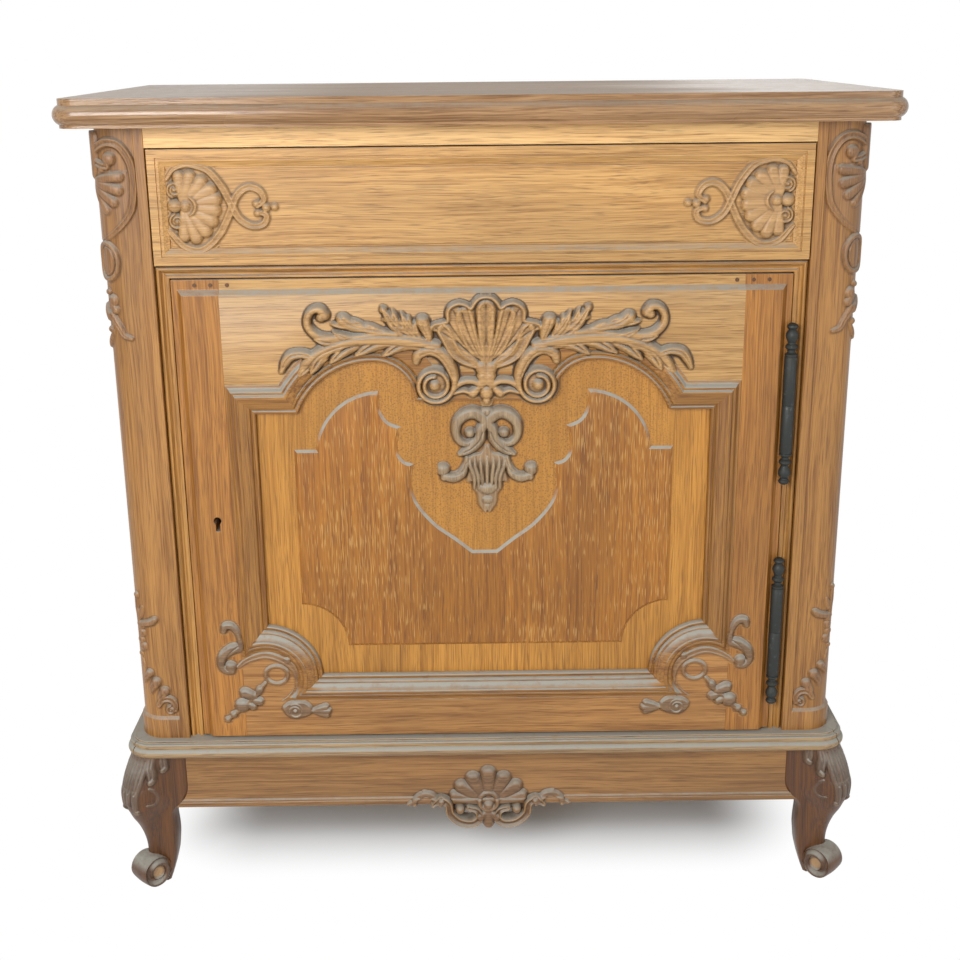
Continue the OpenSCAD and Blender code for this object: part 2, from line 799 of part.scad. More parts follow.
// Skin through the rings, closed at both ends
module skin(rings) {
    n = len(rings[0]);
    m = len(rings);
    points = [for (r = rings) each r];
    sides = [for (j = [0:m - 2], i = [0:n - 1]) let (k = (i + 1) % n)
        each [[j * n + i, (j + 1) * n + i, (j + 1) * n + k], [j * n + i, (j + 1) * n + k, j * n + k]]];
    floor_face = [[for (i = [0:n - 1]) i]];
    head_face = [[for (i = [n - 1:-1:0]) (m - 1) * n + i]];
    polyhedron(points, concat(sides, floor_face, head_face));
}

module front_leg(s) color(dark_oak) on_side(s) translate([half_w, yf, 0])
    skin([for (st = leg_all) leg_ring(st, st[1], st[2])]);

// The back legs are flat behind, so that the cabinet stands close to a wall
module back_leg(s) color(dark_oak) on_side(s) translate([half_w, yb, 0])
    skin([for (st = leg_all) leg_ring([st[0], st[1], st[2], 6], st[2], 0)]);

// Drawer

dovetail_count = 3;
dovetail_l = 14;

// Dovetails at the front end of the right-hand drawer side
module dovetails(slack) {
    pitch = (box_top - box_low) / dovetail_count;
    y0 = drawer_y - dovetail_l - slack;
    y1 = drawer_y + 0.01;
    wide = pitch * 0.32 + slack;
    slim = pitch * 0.22 + slack;
    for (i = [0:dovetail_count - 1])
        translate([box_half - drawer_side_t - slack, 0, box_low + pitch * (i + 0.5)]) rotate([90, 0, 90])
            linear_extrude(drawer_side_t + 2 * slack)
                polygon([[y1, -slim], [y0, -wide], [y0, wide], [y1, slim]]);
}

module drawer_bottom_body(slack) {
    g = 6;
    box([-box_half + drawer_side_t - g - slack, drawer_y - g - slack, box_low + drawer_bottom_up - slack],
        [box_half - drawer_side_t + g + slack, drawer_y + drawer_side_l - g, box_low + drawer_bottom_up
            + drawer_bottom_t + slack]);
}

// The sunk field of the drawer front, with sloped edges
module drawer_field() {
    a = drawer_border;
    b = drawer_border + drawer_slope;
    x = inner_x - drawer_gap;
    intersection() {
        translate([0, 0, z_drawer]) linear_extrude(drawer_h)
            polygon([[-x + a, yf - 1], [-x + a, yf], [-x + b, yf + drawer_sink],
                [x - b, yf + drawer_sink], [x - a, yf], [x - a, yf - 1]]);
        translate([-x, 0, 0]) rotate([90, 0, 90]) linear_extrude(2 * x)
            polygon([[yf - 1, z_drawer + a], [yf, z_drawer + a], [yf + drawer_sink, z_drawer + b],
                [yf + drawer_sink, z_drawer_top - b], [yf, z_drawer_top - a], [yf - 1, z_drawer_top - a]]);
    }
}

// Scallop shell with its looped scroll at the right end of the drawer field
module drawer_shell() {
    z = z_drawer + drawer_h / 2;
    x = inner_x - drawer_gap - drawer_border - drawer_slope;
    y = yf + drawer_sink + carved_in;
    for (a = [100:20:260]) front_plate(y, y - 7)
        translate([x - 14 + cos(a) * 38, z + sin(a) * 34]) circle(9);
    front_plate(y, y - 5) translate([x - 22, z]) circle(30);
    translate([x - 14, 0, z]) for (s = [-1, 1]) translate([0, 0, s * 20]) volute(10, 7, y);
    translate([x - 88, 0, z]) for (s = [-1, 1]) translate([0, 0, s * 13]) volute(12, 6, y);
    front_plate(y, y - 6) translate([x - 110, z]) circle(5);
}

module drawer_front() color(pale_oak) {
    difference() {
        box([-inner_x + drawer_gap, yf, z_drawer], [inner_x - drawer_gap, drawer_y, z_drawer_top]);
        drawer_field();
        for (s = [-1, 1]) on_side(s) dovetails(joint_slack / 2);
        drawer_bottom_body(joint_slack);
    }
    for (s = [-1, 1]) on_side(s) drawer_shell();
}

module drawer_side(s) color(pale_oak) on_side(s) difference() {
    union() {
        box([box_half - drawer_side_t, drawer_y, box_low], [box_half, drawer_y + drawer_side_l, box_top]);
        dovetails(0);
    }
    drawer_bottom_body(joint_slack);
}

module drawer_back() color(pale_oak)
    box([-box_half + drawer_side_t, drawer_y + drawer_side_l - drawer_side_t - 6,
            box_low + drawer_bottom_up + drawer_bottom_t + joint_slack],
        [box_half - drawer_side_t, drawer_y + drawer_side_l - 6, box_top]);

module drawer_bottom() color(pale_oak) drawer_bottom_body(0);

// Door

// The door before it is parted into its pieces: a raised face inside a rebated edge
module door_blank() intersection() {
    translate([0, 0, z_door]) linear_extrude(z_door_top - z_door)
        polygon([[-door_half, door_back], [-door_half, lip_y], [-door_half + lip_side_w, lip_y],
            [-door_half + lip_side_w + lip_slope, door_y], [door_half - lip_side_w - lip_slope, door_y],
            [door_half - lip_side_w, lip_y], [door_half, lip_y], [door_half, door_back]]);
    translate([-door_half, 0, 0]) rotate([90, 0, 90]) linear_extrude(2 * door_half)
        polygon([[door_back, z_door], [door_y, z_door], [door_y, z_door_top - lip_top_w - lip_slope],
            [lip_y, z_door_top - lip_top_w], [lip_y, z_door_top], [door_back, z_door_top]]);
}

// Outline of the panel opening, made larger all round by e
module opening(e, $fn = 180) difference() {
    union() {
        translate([-opening_half_w - e, z_open - e])
            square([2 * (opening_half_w + e), z_shoulder - z_open + 2 * e]);
        translate([-arch_x, z_open]) square([2 * arch_x, z_mid + e - z_open]);
        for (s = [0, 1]) mirror([s, 0]) {
            intersection() {
                translate([arch_x, z_crown - arch_big_r]) circle(arch_big_r + e);
                translate([arch_x, z_open]) square([door_half, door_half * 2]);
            }
            intersection() {
                translate([arch_x, z_crown - arch_small_r]) circle(arch_small_r + e);
                translate([0, z_open]) square([arch_x, door_half * 2]);
            }
        }
    }
    for (s = [0, 1]) mirror([s, 0]) translate([opening_half_w + scoop_side, z_open - scoop_down]) {
        circle(scoop_r - e);
        translate([0, e - scoop_r]) square(scoop_r - e);
    }
}

// Steps of the moulding, from the panel outwards: inner edge, outer edge, height
mould_steps = [[0, 6, mould_out * 0.1], [6, 12, mould_out * 0.45], [12, 21, mould_out * 0.8],
    [21, 26, mould_out], [26, 30, mould_out * 0.6], [30, 33, mould_out * 0.25], [33, mould_w, 0]];

// Height of the lower end of the side mouldings, where the scoop's curve begins
mitre_z = z_open - scoop_down + sqrt(scoop_r * scoop_r - scoop_side * scoop_side);

module door_moulding(mask_points) difference() {
    for (s = mould_steps) front_plate(door_back, door_y - s[2]) intersection() {
        polygon(mask_points);
        difference() {
            opening(s[1]);
            opening(s[0]);
        }
    }
    front_plate(tongue_y + tongue_t + joint_slack, tongue_y - joint_slack) opening(door_groove_d);
}

// Mitre lines at 45 degrees, drawn a little past both edges of the moulding
mitre_past = 1;
mask_in = opening_half_w - mitre_past;
mask_out = opening_half_w + mould_w + mitre_past;
side_mask = [[mask_in, mitre_z + mitre_past], [mask_in, z_shoulder - mitre_past],
    [mask_out, z_shoulder + mould_w + mitre_past], [mask_out, mitre_z - mould_w - mitre_past]];
bottom_mask = [[-mask_out, side_mask[3][1]], [-mask_in, side_mask[0][1]], side_mask[0], side_mask[3],
    [door_half, z_door], [-door_half, z_door]];
top_mask = [[-mask_in, side_mask[1][1]], side_mask[1], side_mask[2],
    [door_half, z_door_top], [-door_half, z_door_top], [-mask_out, side_mask[2][1]]];

module door_moulding_side(s) color(dark_oak) on_side(s) door_moulding(side_mask);
module door_moulding_bottom() color(dark_oak) door_moulding(bottom_mask);

// The arches die into the two big volutes of the crest, which is carved on the rail
module door_moulding_top() color(dark_oak) difference() {
    door_moulding(top_mask);
    front_plate(door_y + carved_in, door_y - 2 * mould_out) crest_cut();
}

crest_volute_r = 25;
crest_volute_x = 57;
carved_in = 1;
ring_gap = 0.5;

module crest_cut() {
    translate([-crest_volute_x, z_mid - 10]) square([2 * crest_volute_x, 60]);
    for (s = [-1, 1]) translate([s * crest_volute_x, z_mid + 18]) circle(crest_volute_r);
}

// Raised ornament of the top rail: the shell, two branches and the two volutes
module crest() {
    y = door_y + carved_in;
    z = z_mid + 18;
    for (a = [20:20:160]) front_plate(y, y - 10)
        translate([cos(a) * 44, z + 62 + sin(a) * 38]) circle(9);
    front_plate(y, y - 8) translate([0, z + 62]) circle(42);
    front_plate(y, y - 10) translate([-16, z + 8]) square([32, 40]);
    for (s = [-1, 1]) on_side(s) {
        translate([crest_volute_x, 0, z]) volute(crest_volute_r, 13, y);
        front_plate(y, y - 8) translate([arch_x, z_crown - arch_big_r]) intersection() {
            ring(arch_big_r + mould_w + 12, 12 - ring_gap);
            rotate(38) square(arch_big_r * 2);
        }
        front_plate(y, y - 8) translate([crest_volute_x + 21, z + 60]) rotate(40) leaf(56, 16);
        front_plate(y, y - 8) translate([arch_x - 5, z + 72]) rotate(8) leaf(76, 20);
        translate([arch_x + 67, 0, z + 84]) volute(14, 9, y);
        front_plate(y, y - 8) translate([arch_x + 73, z + 62]) rotate(-30) leaf(56, 18);
    }
}

door_tenon_l = 34;
door_tenon_in = 8;

module door_tenons(slack) for (s = [-1, 1]) on_side(s) {
    y = door_back - door_tenon_in - tenon_t;
    for (z = [[z_door + 12, z_open - mould_w - 6],
            [z_shoulder + mould_w + 8, z_door_top - lip_top_w - 12]])
        box([stile_in - slack, y - slack, z[0] - slack],
            [stile_in + door_tenon_l + slack, y + tenon_t + slack, z[1] + slack]);
}

module door_top_rail() color(pale_oak) {
    intersection() {
        door_blank();
        front_plate(door_back, door_y) difference() {
            translate([-stile_in, z_mid]) square([2 * stile_in, z_door_top - z_mid]);
            opening(mould_w);
            translate([-stile_in, z_open]) square([2 * stile_in, z_shoulder + mould_w - z_open]);
        }
    }
    intersection() {
        door_tenons(0);
        box([-door_half, door_y, z_mid], [door_half, door_back, z_door_top]);
    }
    crest();
}

// Carved corners of the bottom rail: a bead round the scoop, an oval ring, and leaf curls
module low_corner_carving() {
    x = opening_half_w + scoop_side;
    z = z_open - scoop_down;
    y = door_y + carved_in;
    front_plate(y, y - 6) intersection() {
        translate([x, z]) ring(scoop_r - mould_w - 2, 4);
        translate([x - scoop_r, z]) square(scoop_r);
    }
    front_plate(y, y - 6) translate([x - 13, z + 3]) ring(15, 4);
    front_plate(y, y - 7) translate([x + 6, z - 28]) rotate(-75) leaf(44, 18);
    front_plate(y, y - 7) translate([x - 76, z - 44]) leaf(56, 18);
    translate([x - 26, 0, z - 42]) volute(9, 7, y);
}

module door_bottom_rail() color(oak) {
    intersection() {
        door_blank();
        front_plate(door_back, door_y) difference() {
            translate([-stile_in, z_door]) square([2 * stile_in, mitre_z - z_door]);
            opening(mould_w);
        }
    }
    intersection() {
        door_tenons(0);
        box([-door_half, door_y, z_door], [door_half, door_back, z_open]);
    }
    for (s = [-1, 1]) on_side(s) low_corner_carving();
}

module keyhole(y0, y1) front_plate(y0, y1) translate([key_x, z_key]) {
    translate([0, key_h / 2 - key_r]) circle(key_r);
    translate([-key_slot_w / 2, -key_h / 2]) square([key_slot_w, key_h - key_r]);
}

module door_stile(s) color(oak) difference() {
    on_side(s) intersection() {
        door_blank();
        box([stile_in, door_y, z_door], [door_half, door_back, z_door_top]);
    }
    door_tenons(joint_slack);
    if (s > 0) leaf_plates(joint_slack, -1);
    if (s < 0) {
        keyhole(door_back + 1, door_y - 1);
        lock_screw_places() cylinder(h = lock_screw_l, r = lock_screw_r + joint_slack / 2);
    }
}

// Raised field of the panel: its arches, the notches beside them, and the dip between them
field_notch = 27;
field_arch_r = 82;
field_arch_x = 127;
field_arch_down = 8;
field_dip_x = 90;
// Edge of the dip on the right: distance from the middle, and height above the notches
field_dip = [[127, 90], [125, 60], [110, 40], [109, 16], [94, -12], [92, -45], [70, -80],
    [36, -104], [14, -136]];

module field_outline() difference() {
    union() {
        translate([-field_half_w, field_low]) square([2 * field_half_w, field_h]);
        for (s = [0, 1]) mirror([s, 0]) intersection() {
            translate([field_arch_x, field_top - field_arch_down]) circle(field_arch_r);
            translate([field_dip_x, field_low])
                square([field_half_w - field_notch - field_dip_x, 2 * field_h]);
        }
    }
    polygon(concat([for (p = field_dip) [-p[0], field_top + p[1]]],
        [for (i = [len(field_dip) - 1:-1:0]) [field_dip[i][0], field_top + field_dip[i][1]]]));
    for (s = [-1, 1]) translate([s * field_half_w, field_low]) circle(field_scoop_r);
}

// Pendant carved on the panel under the crest
module pendant() {
    y = panel_y + carved_in;
    front_plate(y, y - 7) translate([0, z_mid - 16]) circle(8);
    for (s = [-1, 1]) on_side(s) {
        translate([17, 0, z_mid - 34]) volute(14, 10, y);
        front_plate(y, y - 7) translate([8, z_mid - 44]) rotate(-70) leaf(30, 12);
        front_plate(y, y - 7) translate([10, z_mid - 80]) rotate(-20) leaf(44, 16);
    }
    front_plate(y, y - 8) translate([0, z_mid - 70]) rotate(-90) leaf(74, 26);
}

module door_panel() color([0.70, 0.45, 0.20]) {
    front_plate(panel_y + door_panel_t, panel_y) opening(-0.3);
    front_plate(tongue_y + tongue_t, tongue_y) opening(door_groove_d - 1);
    front_plate(panel_y + 1, panel_y - field_out) field_outline();
    pendant();
}

// Hinges: the upper half of each turns with the door, the lower half and the pin stay on the post

// Half section of a barrel with its turned finial, from the seam at z = 0 up
module hinge_half_section() {
    b = hinge_l / 2 - finial_l;
    r = barrel_r;
    square([r, b]);
    polygon([[0, b], [r, b], [r, b + 3], [r * 0.62, b + 5], [r * 0.62, b + 9], [r * 0.95, b + 11],
        [r * 0.95, b + 14], [r * 0.6, b + 16], [r * 0.75, b + 20], [r, b + 25], [r * 0.95, b + 29],
        [r * 0.6, b + 33], [r * 0.85, b + 36], [r * 0.8, b + 39],
        [r * 0.4, b + finial_l], [0, b + finial_l]]);
}

seam_gap = 0.2;
pin_bore_l = pin_l / 2 + 1;

module hinge_places() for (z = [low_hinge_up, high_hinge_up])
    translate([axis_x, axis_y, z_door + z]) children();

// Leaf plates run straight back from the barrels into the door (side -1) or the strip (side 1)
module leaf_plates(slack, side) {
    x = side * (door_gap / 2 + 1 + leaf_t / 2);
    z0 = side < 0 ? seam_gap + 6 : -6 - leaf_h;
    hinge_places() box([x - leaf_t / 2 - slack, barrel_r * 0.5, z0 - slack],
        [x + leaf_t / 2 + slack, barrel_r + leaf_d + slack, z0 + leaf_h + slack]);
}

module hinge_door_leaves() color(iron) difference() {
    union() {
        hinge_places() translate([0, 0, seam_gap]) rotate_extrude() hinge_half_section();
        leaf_plates(0, -1);
    }
    hinge_places() cylinder(h = pin_bore_l, r = pin_r + pin_fit);
}

module hinge_post_leaves() color(iron) difference() {
    union() {
        hinge_places() mirror([0, 0, 1]) rotate_extrude() hinge_half_section();
        leaf_plates(0, 1);
    }
    hinge_places() translate([0, 0, -pin_l / 2]) cylinder(h = pin_l, r = pin_r + pin_fit);
}

module hinge_pins() color(steel) hinge_places()
    translate([0, 0, -pin_l / 2]) cylinder(h = pin_l, r = pin_r);

// Lock

lock_screw_r = 1.4;
lock_screw_l = 12;
lock_x0 = -door_half + 0.8;
lock_z0 = z_key - lock_h / 2;
lock_ear = 6;

// Four screws hold the case to the back of the stile, pointing forward into the wood
module lock_screw_places() {
    for (x = [lock_ear, lock_w - lock_ear], z = [lock_ear, lock_h - lock_ear])
        translate([lock_x0 + x, door_back, lock_z0 + z]) rotate([90, 0, 0]) children();
}

module lock_screws() color(steel) lock_screw_places() {
    cylinder(h = lock_screw_l - 1, r = lock_screw_r);
    translate([0, 0, -lock_sheet - 1.2]) cylinder(h = 1.2, r = 2.6);
    translate([0, 0, -lock_sheet - 1]) cylinder(h = lock_sheet + 1, r = lock_screw_r);
}

bolt_z0 = z_key + 8;
bolt_y0 = door_back + lock_sheet + 2;
bolt_l = lock_w - 6;

module bolt_body(slack) {
    box([lock_x0 - slack, bolt_y0 - slack, bolt_z0 - slack],
        [lock_x0 + bolt_l + slack, bolt_y0 + bolt_t + slack, bolt_z0 + bolt_h + slack]);
}

module lock_case() color(steel) difference() {
    union() {
        box([lock_x0, door_back, lock_z0], [lock_x0 + lock_w, door_back + lock_sheet, lock_z0 + lock_h]);
        difference() {
            box([lock_x0, door_back, lock_z0 + 2 * lock_ear],
                [lock_x0 + lock_w, lock_y - lock_sheet, lock_z0 + lock_h - 2 * lock_ear]);
            box([lock_x0 + lock_sheet, door_back, lock_z0 + 2 * lock_ear + lock_sheet],
                [lock_x0 + lock_w - lock_sheet, lock_y, lock_z0 + lock_h - 2 * lock_ear - lock_sheet]);
        }
        // Guide that carries the bolt
        box([lock_x0, door_back, bolt_z0 - bolt_gap - 2],
            [lock_x0 + lock_w, bolt_y0 + bolt_t, bolt_z0 - bolt_gap]);
        box([lock_x0 + 8, door_back, bolt_z0 - bolt_gap],
            [lock_x0 + 30, bolt_y0 - bolt_gap, bolt_z0 + bolt_h]);
    }
    keyhole(door_back + lock_d, door_back - 1);
    translate([-10, 0, 0]) bolt_body(bolt_gap);
    bolt_body(bolt_gap);
    lock_screw_places() translate([0, 0, -lock_d])
        cylinder(h = 2 * lock_d, r = lock_screw_r + joint_slack / 2);
}

module lock_cap() color(steel) box([lock_x0, lock_y - lock_sheet, lock_z0 + 2 * lock_ear],
    [lock_x0 + lock_w, lock_y, lock_z0 + lock_h - 2 * lock_ear]);

module lock_bolt() color(steel) difference() {
    bolt_body(0);
    box([lock_x0 + 26, bolt_y0 - 1, bolt_z0 - 1],
        [lock_x0 + 26 + bolt_travel, bolt_y0 + bolt_t + 1, bolt_z0 + 4]);
}

keeper_gap = 1.2;
keeper_t = 3.5;

// Bent keeper behind the left-hand strip, fixed to the post. The bolt catches behind the strip.
module strike_box() color(steel) {
    g = keeper_gap;
    difference() {
        box([-inner_x, stop_y, bolt_z0 - g - keeper_t], [-inner_x + surround_w - 3,
            bolt_y0 + bolt_t + g + keeper_t, bolt_z0 + bolt_h + g + keeper_t]);
        box([-inner_x - 1, stop_y - 1, bolt_z0 - g], [0, bolt_y0 + bolt_t + g, bolt_z0 + bolt_h + g]);
    }
}

top_board();
top_screws();
front_post(-1);  // front_post_left
front_post(1);  // front_post_right
back_post(-1);  // back_post_left
back_post(1);  // back_post_right
front_top_rail();
back_top_rail();
side_top_rail(-1);  // side_top_rail_left
side_top_rail(1);  // side_top_rail_right
drawer_rail();
bottom_board();
shelf();
shelf_cleats();
side_bottom_rail(-1);  // side_bottom_rail_left
side_bottom_rail(1);  // side_bottom_rail_right
side_panel(-1);  // side_panel_left
side_panel(1);  // side_panel_right
back_bottom_rail();
back_panel();
door_surround_side(-1);  // door_surround_left
door_surround_side(1);  // door_surround_right
door_surround_top();
drawer_runner(-1);  // drawer_runner_left
drawer_runner(1);  // drawer_runner_right
drawer_kickers();
base_moulding_front();
base_moulding_side(-1);  // base_moulding_left
base_moulding_side(1);  // base_moulding_right
front_apron();
side_apron(-1);  // side_apron_left
side_apron(1);  // side_apron_right
back_apron();
front_leg(-1);  // front_leg_left
front_leg(1);  // front_leg_right
back_leg(-1);  // back_leg_left
back_leg(1);  // back_leg_right
drawer_front();
drawer_side(-1);  // drawer_side_left
drawer_side(1);  // drawer_side_right
drawer_back();
drawer_bottom();
door_stile(-1);  // door_stile_left
door_stile(1);  // door_stile_right
door_top_rail();
door_bottom_rail();
door_moulding_side(-1);  // door_moulding_left
door_moulding_side(1);  // door_moulding_right
door_moulding_top();
door_moulding_bottom();
door_panel();
hinge_door_leaves();
hinge_post_leaves();
hinge_pins();
lock_case();
lock_cap();
lock_bolt();
strike_box();
lock_screws();
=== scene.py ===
"""Low provincial oak cabinet with one drawer and one door: its looks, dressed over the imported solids."""

import logging
import math
from dataclasses import dataclass, field
from enum import Enum
from functools import partial
from typing import Callable, Optional, Sequence, Union

import bmesh
import bpy
import numpy as np
from bpy.types import Material, Mesh, NodeSocket, NodeTree, Object, World
from mathutils import Matrix, Vector


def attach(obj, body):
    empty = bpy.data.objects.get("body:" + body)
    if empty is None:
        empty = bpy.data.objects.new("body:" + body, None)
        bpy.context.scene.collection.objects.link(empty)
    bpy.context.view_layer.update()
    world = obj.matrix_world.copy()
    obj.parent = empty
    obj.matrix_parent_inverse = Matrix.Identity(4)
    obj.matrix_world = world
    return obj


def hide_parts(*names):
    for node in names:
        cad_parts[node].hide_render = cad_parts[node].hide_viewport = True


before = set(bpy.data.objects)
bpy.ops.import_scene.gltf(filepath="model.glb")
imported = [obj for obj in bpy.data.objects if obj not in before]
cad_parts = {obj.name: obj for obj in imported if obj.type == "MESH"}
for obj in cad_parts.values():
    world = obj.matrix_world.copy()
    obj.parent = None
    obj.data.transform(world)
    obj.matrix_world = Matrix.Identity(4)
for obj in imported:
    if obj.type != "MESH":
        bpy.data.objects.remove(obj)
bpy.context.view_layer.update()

log = logging.getLogger("cabinet")
MM = 0.001
# Points nearer than this, in metres, are merged into one
MERGE = 2e-6
# Where the photograph was taken from, in millimetres
EYE = (-16.65, -1895.3, 1094.3)
SIDES = ((-1, "left"), (1, "right"))
# Makes a map range node run in and out softly
SOFT = {"interpolation_type": "SMOOTHSTEP"}
Point = Sequence[float]
Line = list[tuple[float, float]]
Spread = Union[float, Sequence[float]]
Placer = Callable[[np.ndarray, np.ndarray, np.ndarray], np.ndarray]
Grower = tuple[NodeTree, dict[str, str]]


# Sizes that several pieces share


@dataclass(frozen=True)
class Sizes:
    """Sizes of the cabinet in millimetres, as its solids have them."""

    front: float = -226.0
    back: float = 249.0
    half_w: float = 459.0
    post_w: float = 67.0
    post_round: float = 34.0
    post_strip: float = 12.0
    post_sink: float = 3.5
    z_base: float = 193.0
    z_low: float = 216.0
    z_top: float = 1001.0
    z_drawer: float = 840.0
    z_drawer_top: float = 975.5
    z_drawer_rail: float = 838.5
    z_door: float = 219.0
    z_door_top: float = 822.5
    door_y: float = -229.0
    door_back: float = -201.0
    lip_y: float = -222.0
    stile_in: float = 316.0
    opening_half: float = 280.0
    z_open: float = 306.0
    z_shoulder: float = 658.0
    z_mid: float = 672.0
    z_crown: float = 722.0
    arch_x: float = 134.96
    big_r: float = 100.0
    small_r: float = 51.0
    scoop_x: float = 285.0
    scoop_z: float = 303.0
    scoop_r: float = 73.0
    mould_w: float = 36.0
    panel_y: float = -223.0
    apron_y: float = -223.0

    @property
    def inner_x(self) -> float:
        """Distance of the inner faces of the posts from the middle."""
        return self.half_w - self.post_w

    @property
    def mitre_z(self) -> float:
        """Height at which the scoop's curve meets the side edge of the panel opening."""
        return self.scoop_z + math.sqrt(self.scoop_r ** 2 - (self.scoop_x - self.opening_half) ** 2)


SIZE = Sizes()


# Node trees


def linear(colour: str) -> tuple[float, float, float, float]:
    """Turns an sRGB hex colour into the linear one that Blender's sockets take.

    Args:
        colour: Six hex digits after a hash.

    Returns:
        Linear red, green and blue, and an alpha of 1.
    """
    parts = [int(colour[i : i + 2], 16) / 255 for i in (1, 3, 5)]
    return tuple(c / 12.92 if c <= 0.04045 else ((c + 0.055) / 1.055) ** 2.4 for c in parts) + (1.0,)


def add_node(tree: NodeTree, kind: str, inputs: Union[dict, Sequence] = (),
             ramp: Sequence[tuple[float, str]] = (), **settings: object) -> Sequence[NodeSocket]:
    """Adds one node with its settings and links, and gives its outputs.

    Args:
        tree: The tree that gets the node.
        kind: The node's type name.
        inputs: By name or number, or in their order: a value, an sRGB hex colour or the socket that feeds it.
        ramp: For a colour ramp, its two stops as place and sRGB hex colour.
        settings: Values of its properties.

    Returns:
        The new node's outputs.
    """
    made = tree.nodes.new(kind)
    for key, value in settings.items():
        setattr(made, key, value)
    for key, value in inputs.items() if isinstance(inputs, dict) else enumerate(inputs):
        if isinstance(value, NodeSocket):
            tree.links.new(value, made.inputs[key])
        elif isinstance(value, str) and value.startswith("#"):
            made.inputs[key].default_value = linear(value)
        else:
            made.inputs[key].default_value = value
    for i, (place, colour) in enumerate(ramp):
        stop = made.color_ramp.elements[i]
        stop.position, stop.color = place, linear(colour)
    return made.outputs


def emptied(owner: Union[Material, World]) -> Callable[..., Sequence[NodeSocket]]:
    """Empties the node tree of a material or a world.

    Args:
        owner: The material or the world.

    Returns:
        add_node for that tree.
    """
    owner.use_nodes = True
    owner.node_tree.nodes.clear()
    return partial(add_node, owner.node_tree)


class Grain(Enum):
    """Direction of the grain of a board, as the turn that lays it along the pattern's first axis."""

    ACROSS = (0.0, 0.0, 0.0)
    UPRIGHT = (0.0, math.pi / 2, 0.0)
    DEPTH = (0.0, 0.0, -math.pi / 2)


